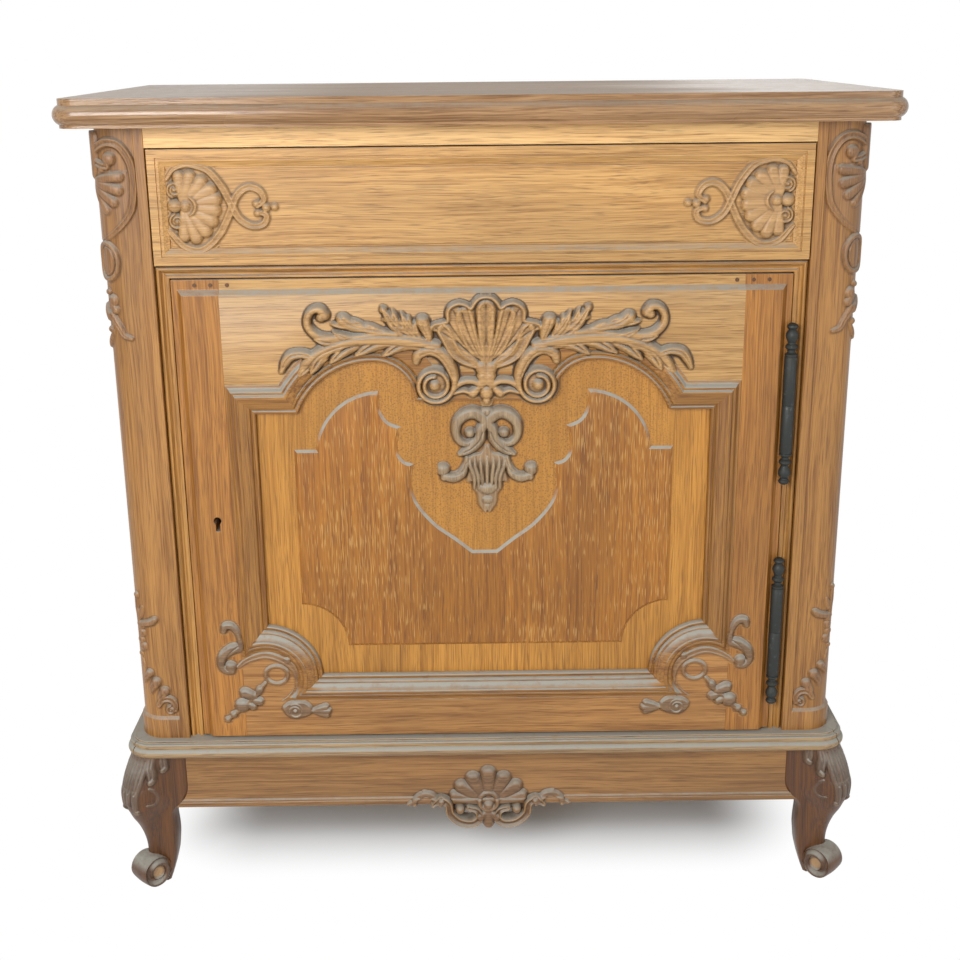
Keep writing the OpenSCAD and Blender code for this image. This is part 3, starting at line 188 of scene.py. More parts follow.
@dataclass(frozen=True)
class OakFinish:
    """Quartered oak, planed, stained and waxed by hand: soft sheen, open pores, grey dust on what faces up."""

    name: str
    light: str
    dark: str
    grain: Grain = Grain.ACROSS
    shift: tuple = (0.0, 0.0, 0.0)
    carved: str = "#6b4a34"
    carved_dark: str = "#3f2a1e"
    pore: str = "#4c2f18"
    flecks: float = 0.0
    dust: float = 0.75
    settle: float = 0.75
    rough: float = 0.44
    polish: float = 0.0
    stipple: bool = False

    def material(self) -> Material:
        """Builds the material, or returns it if it is there already.

        Returns:
            The material.
        """
        known = bpy.data.materials.get(self.name)
        if known:
            return known
        made = bpy.data.materials.new(self.name)
        add = emptied(made)
        coord = add("ShaderNodeTexCoord")
        here = coord["Object"]
        board = add("ShaderNodeMapping", {"Vector": here, "Location": self.shift, "Rotation": self.grain.value})[0]
        # The grain wanders sideways by about 8 mm over a third of a metre
        wander = add("ShaderNodeMapping", {"Vector": board, "Scale": (3, 9, 9)})[0]
        wander = add("ShaderNodeTexNoise", {"Vector": wander, "Scale": 1.0, "Detail": 2.0})["Color"]
        wander = add("ShaderNodeVectorMath", [wander, (0.0, 0.016, 0.016), board], operation="MULTIPLY_ADD")[0]
        # Growth streaks 8 mm wide and 400 mm long, lines 1.8 mm wide, pores 1.1 mm wide and 38 mm long
        levels = []
        for scale, detail in (((2.5, 120, 120), 3.0), ((8, 560, 560), 3.0), ((26, 900, 900), 1.0),
                              ((2.5, 10, 10), 2.0)):
            spot = add("ShaderNodeMapping", {"Vector": wander, "Scale": scale})[0]
            levels.append(add("ShaderNodeTexNoise", {"Vector": spot, "Scale": 1.0, "Detail": detail,
                "Roughness": 0.6})["Fac"])
        streak, line, pore, tone = levels
        both = add("ShaderNodeMix", {"Factor": 0.64, 2: streak, 3: line})[0]
        colour = add("ShaderNodeValToRGB", [both], ((0.38, self.dark), (0.58, self.light)))[0]
        shade = add("ShaderNodeMapRange", [tone, 0.3, 0.7, 0.8, 1.14])[0]
        colour = add("ShaderNodeMix", {0: 1.0, 6: colour, 7: shade}, data_type="RGBA", blend_type="MULTIPLY")[2]
        open_pore = add("ShaderNodeMapRange", [pore, 0.53, 0.7, 0.0, 0.45], **SOFT)[0]
        height = add("ShaderNodeMath", [open_pore, -1.2, line], operation="MULTIPLY_ADD")[0]
        # What lies over the plain wood, from the lowest layer up: how far it covers, and its colour
        layers = [(open_pore, self.pore)]
        if self.flecks:
            # Ray flecks: pale dashes about 1.2 mm by 14 mm, a little denser in flocks 100 mm wide
            spot = add("ShaderNodeMapping", {"Vector": board, "Scale": (55, 800, 800),
                "Location": (3.1, 1.7, 0.4)})[0]
            dash = add("ShaderNodeTexNoise", {"Vector": spot, "Scale": 1.0, "Detail": 0.0})["Fac"]
            flock = add("ShaderNodeTexNoise", {"Vector": board, "Scale": 9.0, "Detail": 1.0})["Fac"]
            flock = add("ShaderNodeMath", [flock, 0.35, 0.325], operation="MULTIPLY_ADD")[0]
            dash = add("ShaderNodeMath", [dash, flock], operation="MULTIPLY")[0]
            dash = add("ShaderNodeMapRange", [dash, 0.295, 0.36, 0.0, self.flecks], **SOFT)[0]
            layers.append((dash, "#dcb06a"))
        if self.stipple:
            # Ground beaten with a blunt punch within 270 mm of the middle, one mark every 2.6 mm
            across, _, up = add("ShaderNodeSeparateXYZ", [here])
            across = add("ShaderNodeMath", [across], operation="ABSOLUTE")[0]
            dots = add("ShaderNodeTexVoronoi", {"Vector": here, "Scale": 380.0, "Randomness": 0.9})["Distance"]
            near = add("ShaderNodeMath", [add("ShaderNodeMapRange", [up, 0.42, 0.54], **SOFT)[0],
                add("ShaderNodeMapRange", [across, 0.27, 0.17], **SOFT)[0]], operation="MULTIPLY")[0]
            mark = add("ShaderNodeMapRange", [dots, 0.0, 0.5, 1.0, 0.0])[0]
            mark = add("ShaderNodeMath", [mark, near], operation="MULTIPLY")[0]
            for cover, share, over in ((near, 0.5, "#a9742a"), (mark, 0.85, "#6b4419")):
                layers.append((add("ShaderNodeMath", [cover, share], operation="MULTIPLY")[0], over))
            height = add("ShaderNodeMath", [mark, -3.0, height], operation="MULTIPLY_ADD")[0]
        # Carved wood takes the stain more deeply; its hollows hold old wax and dirt, darkened further as painted
        # shade
        cut = add("ShaderNodeValToRGB", [both], ((0.35, self.carved_dark), (0.62, self.carved)))[0]
        # Carved tops are rubbed, and lightened further as a painted highlight
        for mark, over in (("stain", cut), ("hollow", "#35210f"), ("worn", "#c09a6c")):
            layers.append((add("ShaderNodeAttribute", attribute_name=mark)["Fac"], over))
        # Dust lies where the surface faces up, broken up in patches of about 10 mm
        facing = add("ShaderNodeSeparateXYZ", [coord["Normal"]])["Z"]
        facing = add("ShaderNodeMapRange", [facing, 0.25 * self.settle, self.settle], **SOFT)[0]
        patch = add("ShaderNodeTexNoise", {"Vector": here, "Scale": 70.0, "Detail": 3.0, "Roughness": 0.7})["Fac"]
        patch = add("ShaderNodeMapRange", [patch, 0.25, 0.6, 0.45 * self.dust, self.dust])[0]
        dust = add("ShaderNodeMath", [facing, patch], operation="MULTIPLY")[0]
        for cover, over in layers + [(dust, "#a09c91")]:
            colour = add("ShaderNodeMix", {0: cover, 6: colour, 7: over}, data_type="RGBA")[2]
        rough = add("ShaderNodeMapRange", [line, 0.3, 0.7, self.rough - 0.06, self.rough + 0.08])[0]
        if self.polish:
            # The wax still shines toward both ends, from 200 mm off the middle, and is dull between
            side = add("ShaderNodeMath", [add("ShaderNodeSeparateXYZ", [here])["X"]], operation="ABSOLUTE")[0]
            side = add("ShaderNodeMath", [tone, 0.25, side], operation="MULTIPLY_ADD")[0]
            rough = add("ShaderNodeMapRange", [side, 0.26, 0.48, self.rough, self.rough - self.polish], **SOFT)[0]
        rough = add("ShaderNodeMix", {"Factor": dust, 2: rough, 3: 0.85})[0]
        bump = add("ShaderNodeBump", {"Strength": 0.35, "Distance": 0.0003, "Height": height})[0]
        shader = add("ShaderNodeBsdfPrincipled", {"Base Color": colour, "Roughness": rough, "Normal": bump,
            "IOR": 1.5, "Coat Weight": 0.08, "Coat Roughness": 0.25})[0]
        add("ShaderNodeOutputMaterial", {"Surface": shader})
        return made


@dataclass(frozen=True)
class MetalFinish:
    """Forged iron or rolled steel, darkened by age: dull, with rust and bright rubbed spots in random patches."""

    name: str
    base: str
    rust: str
    bright: str
    rough: float
    metallic: float

    def material(self) -> Material:
        """Builds the material, or returns it if it is there already.

        Returns:
            The material.
        """
        known = bpy.data.materials.get(self.name)
        if known:
            return known
        made = bpy.data.materials.new(self.name)
        add = emptied(made)
        here = add("ShaderNodeTexCoord")["Object"]
        # Scale and dirt in patches of about 6 mm, pits of about 1 mm
        patch = add("ShaderNodeTexNoise", {"Vector": here, "Scale": 160.0, "Detail": 4.0, "Roughness": 0.65})["Fac"]
        pits = add("ShaderNodeTexNoise", {"Vector": here, "Scale": 1000.0, "Detail": 2.0})["Fac"]
        colour = self.base
        for low, high, most, over in ((0.52, 0.72, 0.7, self.rust), (0.42, 0.3, 0.5, self.bright)):
            cover = add("ShaderNodeMapRange", [patch, low, high, 0.0, most], **SOFT)[0]
            colour = add("ShaderNodeMix", {0: cover, 6: colour, 7: over}, data_type="RGBA")[2]
        rough = add("ShaderNodeMapRange", [patch, 0.3, 0.7, self.rough - 0.1, self.rough + 0.15])[0]
        bump = add("ShaderNodeBump", {"Strength": 0.4, "Distance": 0.0003, "Height": pits})[0]
        shader = add("ShaderNodeBsdfPrincipled", {"Base Color": colour, "Metallic": self.metallic,
            "Roughness": rough, "Normal": bump})[0]
        add("ShaderNodeOutputMaterial", {"Surface": shader})
        return made


Finish = Union[OakFinish, MetalFinish]
IRON = MetalFinish("forged_iron_blackened", "#2e312f", "#3a2f25", "#565a55", 0.5, 0.4)
STEEL = MetalFinish("rolled_steel_aged", "#77756f", "#5b4634", "#a4a29c", 0.42, 0.9)

# Boards of the cabinet: the pale ones are the rails, the darker ones the posts and the carved work
TOP = OakFinish("waxed_oak_top", "#a9835b", "#7b5634", Grain.ACROSS, (0.3, 1.1, 0.2), dust=0.4, rough=0.78,
    polish=0.62)
TOP_RAIL = OakFinish("straw_oak_top_rail", "#e6bb7c", "#c29358", Grain.ACROSS, (2.3, 6.4, 2.7))
STRAW = OakFinish("straw_oak_drawer", "#c89b5e", "#a5773f", Grain.ACROSS, (2.1, 0.4, 0.7), "#c49a66", "#967046",
    dust=0.6)
STRAW_RAIL = OakFinish("straw_oak_rail", "#c89c60", "#a4773e", Grain.ACROSS, (4.3, 1.4, 2.7), "#c2975f",
    "#84603a", dust=0.9)
FRAME = OakFinish("brown_oak_post", "#ac7a3e", "#825324", Grain.UPRIGHT, (1.3, 3.4, 0.9), "#9a7048", "#6c4a2c")
STILE = OakFinish("honey_oak_stile", "#af7633", "#824f1a", Grain.UPRIGHT, (5.3, 2.4, 1.9))
STRIP = OakFinish("honey_oak_strip", "#c08c48", "#95652c", Grain.UPRIGHT, (7.7, 2.0, 4.9))
STRIP_ACROSS = OakFinish("honey_oak_strip_across", "#c08c48", "#95652c", Grain.ACROSS, (3.7, 9.0, 1.9))
MOULDING = OakFinish("brown_oak_moulding", "#a17032", "#73471a", Grain.ACROSS, (0.7, 5.4, 3.3), dust=1.4,
    settle=0.5)
MOULDING_UP = OakFinish("brown_oak_moulding_upright", "#a17032", "#73471a", Grain.UPRIGHT, (2.7, 0.4, 5.3),
    dust=1.4, settle=0.5)
FIELD = OakFinish("quartered_oak_field", "#a86c20", "#824c10", Grain.UPRIGHT, (0.9, 6.4, 1.1), flecks=0.34,
    dust=1.1, settle=0.3)
GROUND = OakFinish("punched_oak_ground", "#c08636", "#99631c", Grain.UPRIGHT, (3.9, 6.9, 1.1), "#a48c6c",
    "#735b41", stipple=True, settle=0.5)
LOW_RAIL = OakFinish("honey_oak_low_rail", "#b58247", "#8b5a29", Grain.ACROSS, (6.6, 3.3, 0.2), "#886a4b",
    "#5d4430", dust=1.0, settle=0.55)
BASE = OakFinish("dusty_oak_base", "#ab8c62", "#84684a", Grain.ACROSS, (8.1, 0.6, 2.2), dust=1.3, settle=0.5)
BASE_SIDE = OakFinish("dusty_oak_base_side", "#ab8c62", "#84684a", Grain.DEPTH, (1.1, 4.6, 2.2), dust=1.3,
    settle=0.5)
APRON = OakFinish("honey_oak_apron", "#996f3f", "#744d27", Grain.ACROSS, (9.1, 5.6, 0.2), "#8d6a48", "#60442c")
LEG = OakFinish("brown_oak_leg", "#69401a", "#442610", Grain.UPRIGHT, (0.2, 7.7, 3.8), "#756150", "#4b3b2f",
    dust=1.0)
SIDE = OakFinish("brown_oak_side", "#a87842", "#7e5229", Grain.UPRIGHT, (6.2, 1.7, 3.1), dust=0.5)
SIDE_RAIL = OakFinish("brown_oak_side_rail", "#a87842", "#7e5229", Grain.DEPTH, (2.2, 8.7, 1.8), dust=0.5)
BACK = OakFinish("raw_oak_back", "#a08058", "#7d5f3c", Grain.UPRIGHT, (5.2, 5.7, 7.8), dust=0.4, rough=0.7)
INSIDE = OakFinish("raw_oak_inside", "#b3905f", "#8e6b3f", Grain.ACROSS, (3.2, 2.7, 6.8), dust=0.25, rough=0.65)
INSIDE_DEPTH = OakFinish("raw_oak_inside_depth", "#b3905f", "#8e6b3f", Grain.DEPTH, (1.2, 6.7, 9.8), dust=0.25,
    rough=0.65)


# Meshes


def quads_between(rows: int, columns: int, wrap: bool = False, flip: bool = False) -> np.ndarray:
    """Faces of a grid of points that are numbered row by row.

    Args:
        rows: Number of rows.
        columns: Number of points in a row.
        wrap: Whether the last point of a row joins its first.
        flip: Whether the faces point the other way.

    Returns:
        An array of four point numbers for each face.
    """
    last = columns if wrap else columns - 1
    i, j = np.meshgrid(np.arange(rows - 1), np.arange(last), indexing="ij")
    k = (j + 1) % columns
    faces = np.stack([i * columns + j, i * columns + k, (i + 1) * columns + k, (i + 1) * columns + j], -1)
    faces = faces.reshape(-1, 4)
    return faces[:, ::-1] if flip else faces


@dataclass
class Piece:
    """One piece of the cabinet: its points in millimetres, its faces, and what it stands for."""

    name: str
    body: str
    slot: str
    finish: Finish
    points: list = field(default_factory=list)
    faces: list = field(default_factory=list)
    marks: dict = field(default_factory=dict)
    count: int = 0

    def add(self, points: np.ndarray, faces: Sequence[Sequence[int]], **marks: np.ndarray) -> "Piece":
        """Adds a part of the mesh.

        Args:
            points: Its points, one row each.
            faces: Its faces, numbered from its own first point.
            marks: Values for each point, such as stain, or dirt with painted shade in hollows.

        Returns:
            The piece itself.
        """
        points = np.asarray(points, float).reshape(-1, 3)
        self.points.append(points)
        self.faces.append((self.count, faces))
        for key in set(self.marks) | set(marks):
            mine = self.marks.setdefault(key, [])
            if len(mine) < len(self.points) - 1:
                mine.extend(np.zeros(len(p)) for p in self.points[len(mine):-1])
            mine.append(np.asarray(marks.get(key, np.zeros(len(points))), float).ravel())
        self.count += len(points)
        return self

    def tube(self, rings: Union[np.ndarray, list], flip: bool = False, **marks: np.ndarray) -> "Piece":
        """Adds a skin through closed rings, with a flat face at each end.

        Args:
            rings: Points as rings by points by three.
            flip: Whether the skin is turned inside out to face outwards.
            marks: Values for each point.

        Returns:
            The piece itself.
        """
        rings = np.asarray(rings, float)
        m, n = rings.shape[:2]
        faces = quads_between(m, n, wrap=True, flip=flip).tolist()
        first, last = list(range(n)), list(range((m - 1) * n, m * n))
        faces += [first if flip else first[::-1], last[::-1] if flip else last]
        return self.add(rings.reshape(-1, 3), faces, **marks)

    def box(self, low: Point, high: Point, ease: float = 0.5) -> "Piece":
        """Adds a board between two corners, with its edges eased.

        Args:
            low: Its left front low corner.
            high: The opposite corner.
            ease: Width of the eased edges.

        Returns:
            The piece itself.
        """
        (x0, y0, z0), (x1, y1, z1) = low, high
        e = ease
        rings = []
        for z, s in ((z0, e), (z0 + e, 0), (z1 - e, 0), (z1, e)):
            rings.append([(x0 + s + e, y0 + s, z), (x1 - s - e, y0 + s, z), (x1 - s, y0 + s + e, z),
                (x1 - s, y1 - s - e, z), (x1 - s - e, y1 - s, z), (x0 + s + e, y1 - s, z),
                (x0 + s, y1 - s - e, z), (x0 + s, y0 + s + e, z)])
        return self.tube(rings)

    def plain(self) -> Mesh:
        """Gives the bare mesh, in metres.

        Returns:
            The new mesh.
        """
        faces = []
        for start, part in self.faces:
            faces += [[start + i for i in f] for f in (part.tolist() if hasattr(part, "tolist") else part)]
        made = bpy.data.meshes.new(self.name)
        made.from_pydata((np.concatenate(self.points) * MM).tolist(), [], faces)
        return made

    def make(self, *replaces: str, smooth: float = 40.0) -> Object:
        """Turns the piece into an object that rides on its body.

        Args:
            replaces: CAD nodes that it stands for.
            smooth: Angle in degrees above which an edge stays sharp; 0 leaves every face flat.

        Returns:
            The new object.
        """
        mesh = self.plain()
        for key, values in self.marks.items():
            values = values + [np.zeros(len(p)) for p in self.points[len(values):]]
            layer = mesh.attributes.new(key, "FLOAT", "POINT")
            layer.data.foreach_set("value", np.concatenate(values).astype(np.float32))
        work = bmesh.new()
        work.from_mesh(mesh)
        bmesh.ops.remove_doubles(work, verts=work.verts, dist=MERGE)
        work.to_mesh(mesh)
        work.free()
        return finish_object(self.name, mesh, self.body, self.finish, replaces, smooth)


def finish_object(
    name: str,
    mesh: Mesh,
    body: str,
    finish: Finish,
    replaces: Sequence[str] = (),
    smooth: float = 40.0,
) -> Object:
    """Links a mesh as one dressed piece of the cabinet.

    Args:
        name: Name of the piece.
        mesh: Its mesh, already in its place.
        body: The CAD body that it rides on.
        finish: Its finish.
        replaces: CAD nodes that it stands for.
        smooth: Angle in degrees above which an edge stays sharp; 0 leaves every face flat.

    Returns:
        The new object.
    """
    made = bpy.data.objects.new(name, mesh)
    bpy.context.scene.collection.objects.link(made)
    mesh.materials.clear()
    mesh.materials.append(finish.material())
    mesh.polygons.foreach_set("use_smooth", [smooth > 0] * len(mesh.polygons))
    if smooth > 0:
        mesh.set_sharp_from_angle(angle=math.radians(smooth))
    mesh.update()
    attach(made, body)
    if replaces:
        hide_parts(*replaces)
    log.info("%s: %d faces", name, len(mesh.polygons))
    return made


def eased_board(node: str, body: str, finish: OakFinish, ease: float = 0.7) -> Object:
    """Makes a board from a merged copy of its CAD node, with its sharp edges eased as with a plane.

    Args:
        node: The CAD node.
        body: Its body.
        finish: Its finish.
        ease: Width of the eased edges in millimetres.

    Returns:
        The new object.
    """
    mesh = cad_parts[node].data.copy()
    work = bmesh.new()
    work.from_mesh(mesh)
    bmesh.ops.remove_doubles(work, verts=work.verts, dist=MERGE)
    bmesh.ops.dissolve_limit(work, angle_limit=math.radians(0.6), verts=work.verts, edges=work.edges)
    sharp = [e for e in work.edges if len(e.link_faces) == 2 and e.calc_face_angle(0.0) > math.radians(30)
             and e.calc_length() > 1.5 * MM]
    bmesh.ops.bevel(work, geom=sharp, offset=ease * MM, offset_type="OFFSET", segments=2, profile=0.5,
        affect="EDGES", clamp_overlap=True)
    bmesh.ops.triangulate(work, faces=[f for f in work.faces if len(f.verts) > 4])
    work.to_mesh(mesh)
    work.free()
    return finish_object(node + "_board", mesh, body, finish, (node,), 0.0)


def dress(node: str, finish: Finish) -> None:
    """Gives a CAD node that keeps its own shape its finish.

    Args:
        node: The node.
        finish: Its finish.
    """
    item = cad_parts[node]
    if not item.material_slots:
        item.data.materials.append(None)
    for place in item.material_slots:
        place.link = "OBJECT"
        place.material = finish.material()
    log.info("%s: CAD shape with %s", node, finish.name)


# Carving


class Cut(Enum):
    """Cross-section of a carved stroke."""

    ROUND = 1
    HOLLOW = 2
    VEINED = 3


def between(a: np.ndarray, b: np.ndarray, c: np.ndarray, d: np.ndarray, t: Spread) -> np.ndarray:
    """Runs smoothly from b at t = 0 to c at t = 1, with a before and d after them."""
    return b + 0.5 * t * (c - a + t * (2 * a - 5 * b + 4 * c - d + t * (3 * (b - c) + d - a)))


def smooth_path(points: Sequence[Point], closed: bool = False) -> tuple[np.ndarray, np.ndarray]:
    """Draws a smooth curve through points.

    Args:
        points: The points that it passes through.
        closed: Whether it returns to its first point.

    Returns:
        Its samples, about 1 mm apart, and for each its place along the points from 0 to 1.
    """
    p = np.asarray(points, float)
    count = len(p) if closed else len(p) - 1
    ends = (p[-1:], p[:2]) if closed else (2 * p[:1] - p[1:2], 2 * p[-1:] - p[-2:-1])
    q = np.concatenate([ends[0], p, ends[1]])
    path, place = [], []
    for i in range(count):
        a, b, c, d = q[i : i + 4]
        n = max(2, int(np.linalg.norm(c - b)))
        t = np.linspace(0, 1, n, endpoint=False)[:, None]
        path.append(between(a, b, c, d, t))
        place.append((i + t[:, 0]) / count)
    path.append(q[count + 1 : count + 2])
    place.append([1.0])
    return np.concatenate(path), np.concatenate(place)


def blurred(height: np.ndarray, reach: int) -> np.ndarray:
    """Averages a height map over a square of 2 reach + 1 cells, once along each side.

    Args:
        height: The map.
        reach: Number of cells on each side.

    Returns:
        The averaged map.
    """
    kernel = np.ones(2 * reach + 1) / (2 * reach + 1)
    padded = np.pad(height, reach, mode="edge")
    padded = np.apply_along_axis(lambda row: np.convolve(row, kernel, "valid"), 1, padded)
    return np.apply_along_axis(lambda row: np.convolve(row, kernel, "valid"), 0, padded)


class Relief:
    """The height of a carving above its ground, on an even grid of millimetres across (u) and up (v)."""

    def __init__(self, low: Point, high: Point, step: float = 0.7) -> None:
        """Starts an empty carving between two corners.

        Args:
            low: The corner with the lowest u and v.
            high: The opposite corner.
            step: Distance of the grid's lines.
        """
        self.step = step
        self.u = np.arange(low[0], high[0] + step / 2, step)
        self.v = np.arange(low[1], high[1] + step / 2, step)
        self.h = np.zeros((len(self.v), len(self.u)))

    def window(self, low: Point, high: Point) -> tuple[slice, slice]:
        """Gives the rows and columns of the grid between two corners.

        Args:
            low: The corner with the lowest u and v.
            high: The opposite corner.

        Returns:
            Rows and columns.
        """
        c = [int((a - g[0]) / self.step) for a, g in ((low[0], self.u), (low[1], self.v))]
        d = [int((a - g[0]) / self.step) + 2 for a, g in ((high[0], self.u), (high[1], self.v))]
        return slice(max(c[1], 0), max(d[1], 0)), slice(max(c[0], 0), max(d[0], 0))

    def spread(self, path: np.ndarray, half: np.ndarray) -> tuple[slice, slice, np.ndarray, np.ndarray, np.ndarray]:
        """Measures each cell near a path against the path's width.

        Args:
            path: Samples of the path.
            half: Half of the width at each sample.

        Returns:
            Rows, columns, the cell's distance over the half width, its place along the path, and its distance.
        """
        most = half.max() + self.step
        rows, cols = self.window(path.min(0) - most, path.max(0) + most)
        uu, vv = np.meshgrid(self.u[cols], self.v[rows])
        ratio, place, away = (np.full(uu.shape, 9.0) for _ in range(3))
        for i in range(len(path) - 1):
            a, d = path[i], path[i + 1] - path[i]
            r, c = self.window(np.minimum(a, a + d) - most, np.maximum(a, a + d) + most)
            r = slice(max(r.start - rows.start, 0), max(r.stop - rows.start, 0))
            c = slice(max(c.start - cols.start, 0), max(c.stop - cols.start, 0))
            x, y = uu[r, c] - a[0], vv[r, c] - a[1]
            t = np.clip((x * d[0] + y * d[1]) / max(d @ d, 1e-9), 0, 1)
            dist = np.hypot(x - t * d[0], y - t * d[1])
            now = dist / np.maximum(half[i] + t * (half[i + 1] - half[i]), 0.05)
            better = now < ratio[r, c]
            ratio[r, c] = np.where(better, now, ratio[r, c])
            away[r, c] = np.where(better, dist, away[r, c])
            place[r, c] = np.where(better, (i + t) / (len(path) - 1), place[r, c])
        return rows, cols, ratio, place, away

    def lay(self, rows: slice, cols: slice, body: np.ndarray) -> "Relief":
        """Raises the cells of a window to a shape's height where it is higher."""
        self.h[rows, cols] = np.maximum(self.h[rows, cols], body)
        return self

    def stroke(self, points: Sequence[Point], width: Spread, height: Spread, cut: Cut = Cut.ROUND,
               closed: bool = False) -> "Relief":
        """Lays a band along a curve.

        Args:
            points: Points that the curve passes through.
            width: Its half width, or several spread along it.
            height: Its height, or several spread along it.
            cut: Its cross-section.
            closed: Whether the curve is a loop.

        Returns:
            The carving itself.
        """
        path, along = smooth_path(points, closed)
        half = np.interp(along, np.linspace(0, 1, np.size(width)), np.ravel(width))
        rows, cols, ratio, place, _ = self.spread(path, half)
        r = np.clip(ratio, 0, 1)
        body = (1 - r ** 3) ** 0.75
        if cut is Cut.HOLLOW:
            body = (1 - r ** 6) ** 0.6 * (0.5 + 0.5 * np.minimum(1, (r / 0.66) ** 2))
        elif cut is Cut.VEINED:
            body = (1 - r ** 2.6) ** 0.75 * (1 - 0.38 * np.exp(-((r / 0.17) ** 2)))
        high = np.interp(np.interp(place, np.linspace(0, 1, len(along)), along),
            np.linspace(0, 1, np.size(height)), np.ravel(height))
        return self.lay(rows, cols, np.where(ratio < 1, high * body, 0))

    def leaflet(self, base: Point, tip: Point, width: float, height: float, bow: float = 0.0) -> "Relief":
        """Lays one lobe of a leaf.

        Args:
            base: Where it grows from.
            tip: Where it ends.
            width: Half of its greatest width.
            height: Its greatest height, near the tip.
            bow: How far its middle bows to its left, as a part of its length.

        Returns:
            The carving itself.
        """
        a, b = np.asarray(base, float), np.asarray(tip, float)
        left = np.array([a[1] - b[1], b[0] - a[0]])
        return self.stroke([a, (a + b) / 2 + left * bow, b], [width * k for k in (0.45, 0.8, 1.0, 0.95, 0.7, 0.2)],
            [height * k for k in (0.45, 0.7, 0.9, 1.0, 0.9)], Cut.VEINED)

    def lobe(self, base: Point, tip: Point, width: float, height: float, bow: float = 0.0,
             cut: Cut = Cut.ROUND) -> "Relief":
        """Lays a gadroon that swells from a narrow base to a round tip.

        Args:
            base: Where it grows from.
            tip: Where it ends.
            width: Half of its width near the tip.
            height: Its height.
            bow: How far its middle bows to its left, as a part of its length.
            cut: Its cross-section.

        Returns:
            The carving itself.
        """
        a, b = np.asarray(base, float), np.asarray(tip, float)
        way = (b - a) / np.linalg.norm(b - a)
        end = b - way * width * 0.95
        left = np.array([a[1] - end[1], end[0] - a[0]])
        return self.stroke([a, (a + end) / 2 + left * bow, end], [width * k for k in (0.3, 0.58, 0.82, 0.96, 1.0)],
            [height * k for k in (0.6, 0.8, 0.94, 1.0, 1.0)], cut)

    def leaf(self, base: Point, tip: Point, width: float, height: float, bow: float = 0.0) -> "Relief":
        """Lays a leaf with a long point and two teeth on each side of it.

        Args:
            base: Where it grows from.
            tip: Where it ends.
            width: Half of its width.
            height: Its height.
            bow: How far its middle bows to its left.

        Returns:
            The carving itself.
        """
        a, b = np.asarray(base, float), np.asarray(tip, float)
        way = b - a
        left = np.array([-way[1], way[0]]) / np.linalg.norm(way)
        for k in (0.3, 0.52):
            for sign in (-1, 1):
                end = a + way * (k + 0.3) + left * (sign * width * (1.3 - k * 0.7) + bow * 40 * k)
                self.leaflet(a + way * (k - 0.2), end, width * 0.62, height * 0.85, -0.12 * sign)
        return self.leaflet(base, tip, width * 0.9, height, bow)

    def patch(self, outline: Sequence[Point], height: float, rim: float) -> "Relief":
        """Lays a filled leaf or shell body.

        Args:
            outline: Points that its smooth outline passes through.
            height: Its height.
            rim: Width over which its edge rounds down to the ground.

        Returns:
            The carving itself.
        """
        path, _ = smooth_path(outline, closed=True)
        rows, cols, ratio, _, _ = self.spread(path, np.full(len(path), rim))
        uu, vv = np.meshgrid(self.u[cols], self.v[rows])
        inside = np.zeros(uu.shape, bool)
        for (x0, y0), (x1, y1) in zip(path[:-1], path[1:]):
            if y0 != y1:
                inside ^= ((y0 > vv) != (y1 > vv)) & (uu < (x1 - x0) * (vv - y0) / (y1 - y0) + x0)
        return self.lay(rows, cols, np.sqrt(1 - (1 - np.clip(ratio, 0, 1)) ** 2) * height * inside)

    def ball(self, centre: Point, radius: float, height: float, upright: float = 1.0) -> "Relief":
        """Lays a ball, or an oval one whose height on the board is upright times its width.

        Args:
            centre: Its middle.
            radius: Half of its width.
            height: Its height above the ground.
            upright: Its length up the board over its width.

        Returns:
            The carving itself.
        """
        rows, cols = self.window((centre[0] - radius, centre[1] - radius * max(1, upright)),
            (centre[0] + radius, centre[1] + radius * max(1, upright)))
        uu, vv = np.meshgrid(self.u[cols], self.v[rows])
        r = np.hypot((uu - centre[0]) / radius, (vv - centre[1]) / (radius * upright))
        return self.lay(rows, cols, np.sqrt(np.clip(1 - r ** 2, 0, 1)) * height)

    def ring(self, centre: Point, across: float, up: float, width: float, height: float,
             cut: Cut = Cut.ROUND) -> "Relief":
        """Lays an oval ring round a centre.

        Args:
            centre: Its middle.
            across: Half of the width of its middle line.
            up: Half of the height of its middle line.
            width: Half of the band's width.
            height: Its height above the ground.
            cut: Its cross-section.

        Returns:
            The carving itself.
        """
        turn = np.linspace(0, 2 * math.pi, 16, endpoint=False)
        loop = np.stack([centre[0] + across * np.cos(turn), centre[1] + up * np.sin(turn)], 1)
        return self.stroke(loop, width, height, cut, closed=True)

    def volute(self, centre: Point, radius: float, start: float, turns: float, height: float,
               hand: int = 1, eye: float = 0.24) -> "Relief":
        """Lays a scroll that winds in to its eye.

        Args:
            centre: Its middle.
            radius: Its outer radius.
            start: Angle in degrees at which it begins, from the right and counter-clockwise.
            turns: Number of turns.
            height: Its height.
            hand: 1 winds counter-clockwise and -1 clockwise.
            eye: Radius of the eye over the outer radius.

        Returns:
            The carving itself.
        """
        band = radius * 0.62 / (turns + 0.8) / 2
        t = np.linspace(0, 1, int(14 * turns) + 4)
        turn = math.radians(start) + hand * t * turns * 2 * math.pi
        reach = (radius - band) * (1 - t) + (eye * radius + band) * t
        path = np.stack([centre[0] + reach * np.cos(turn), centre[1] + reach * np.sin(turn)], 1)
        self.ball(centre, radius * 0.92, height * 0.55)
        self.stroke(path, [band * 1.1, band * 0.95], [height * 0.85, height])
        return self.ball(centre, radius * eye, height * 1.1)

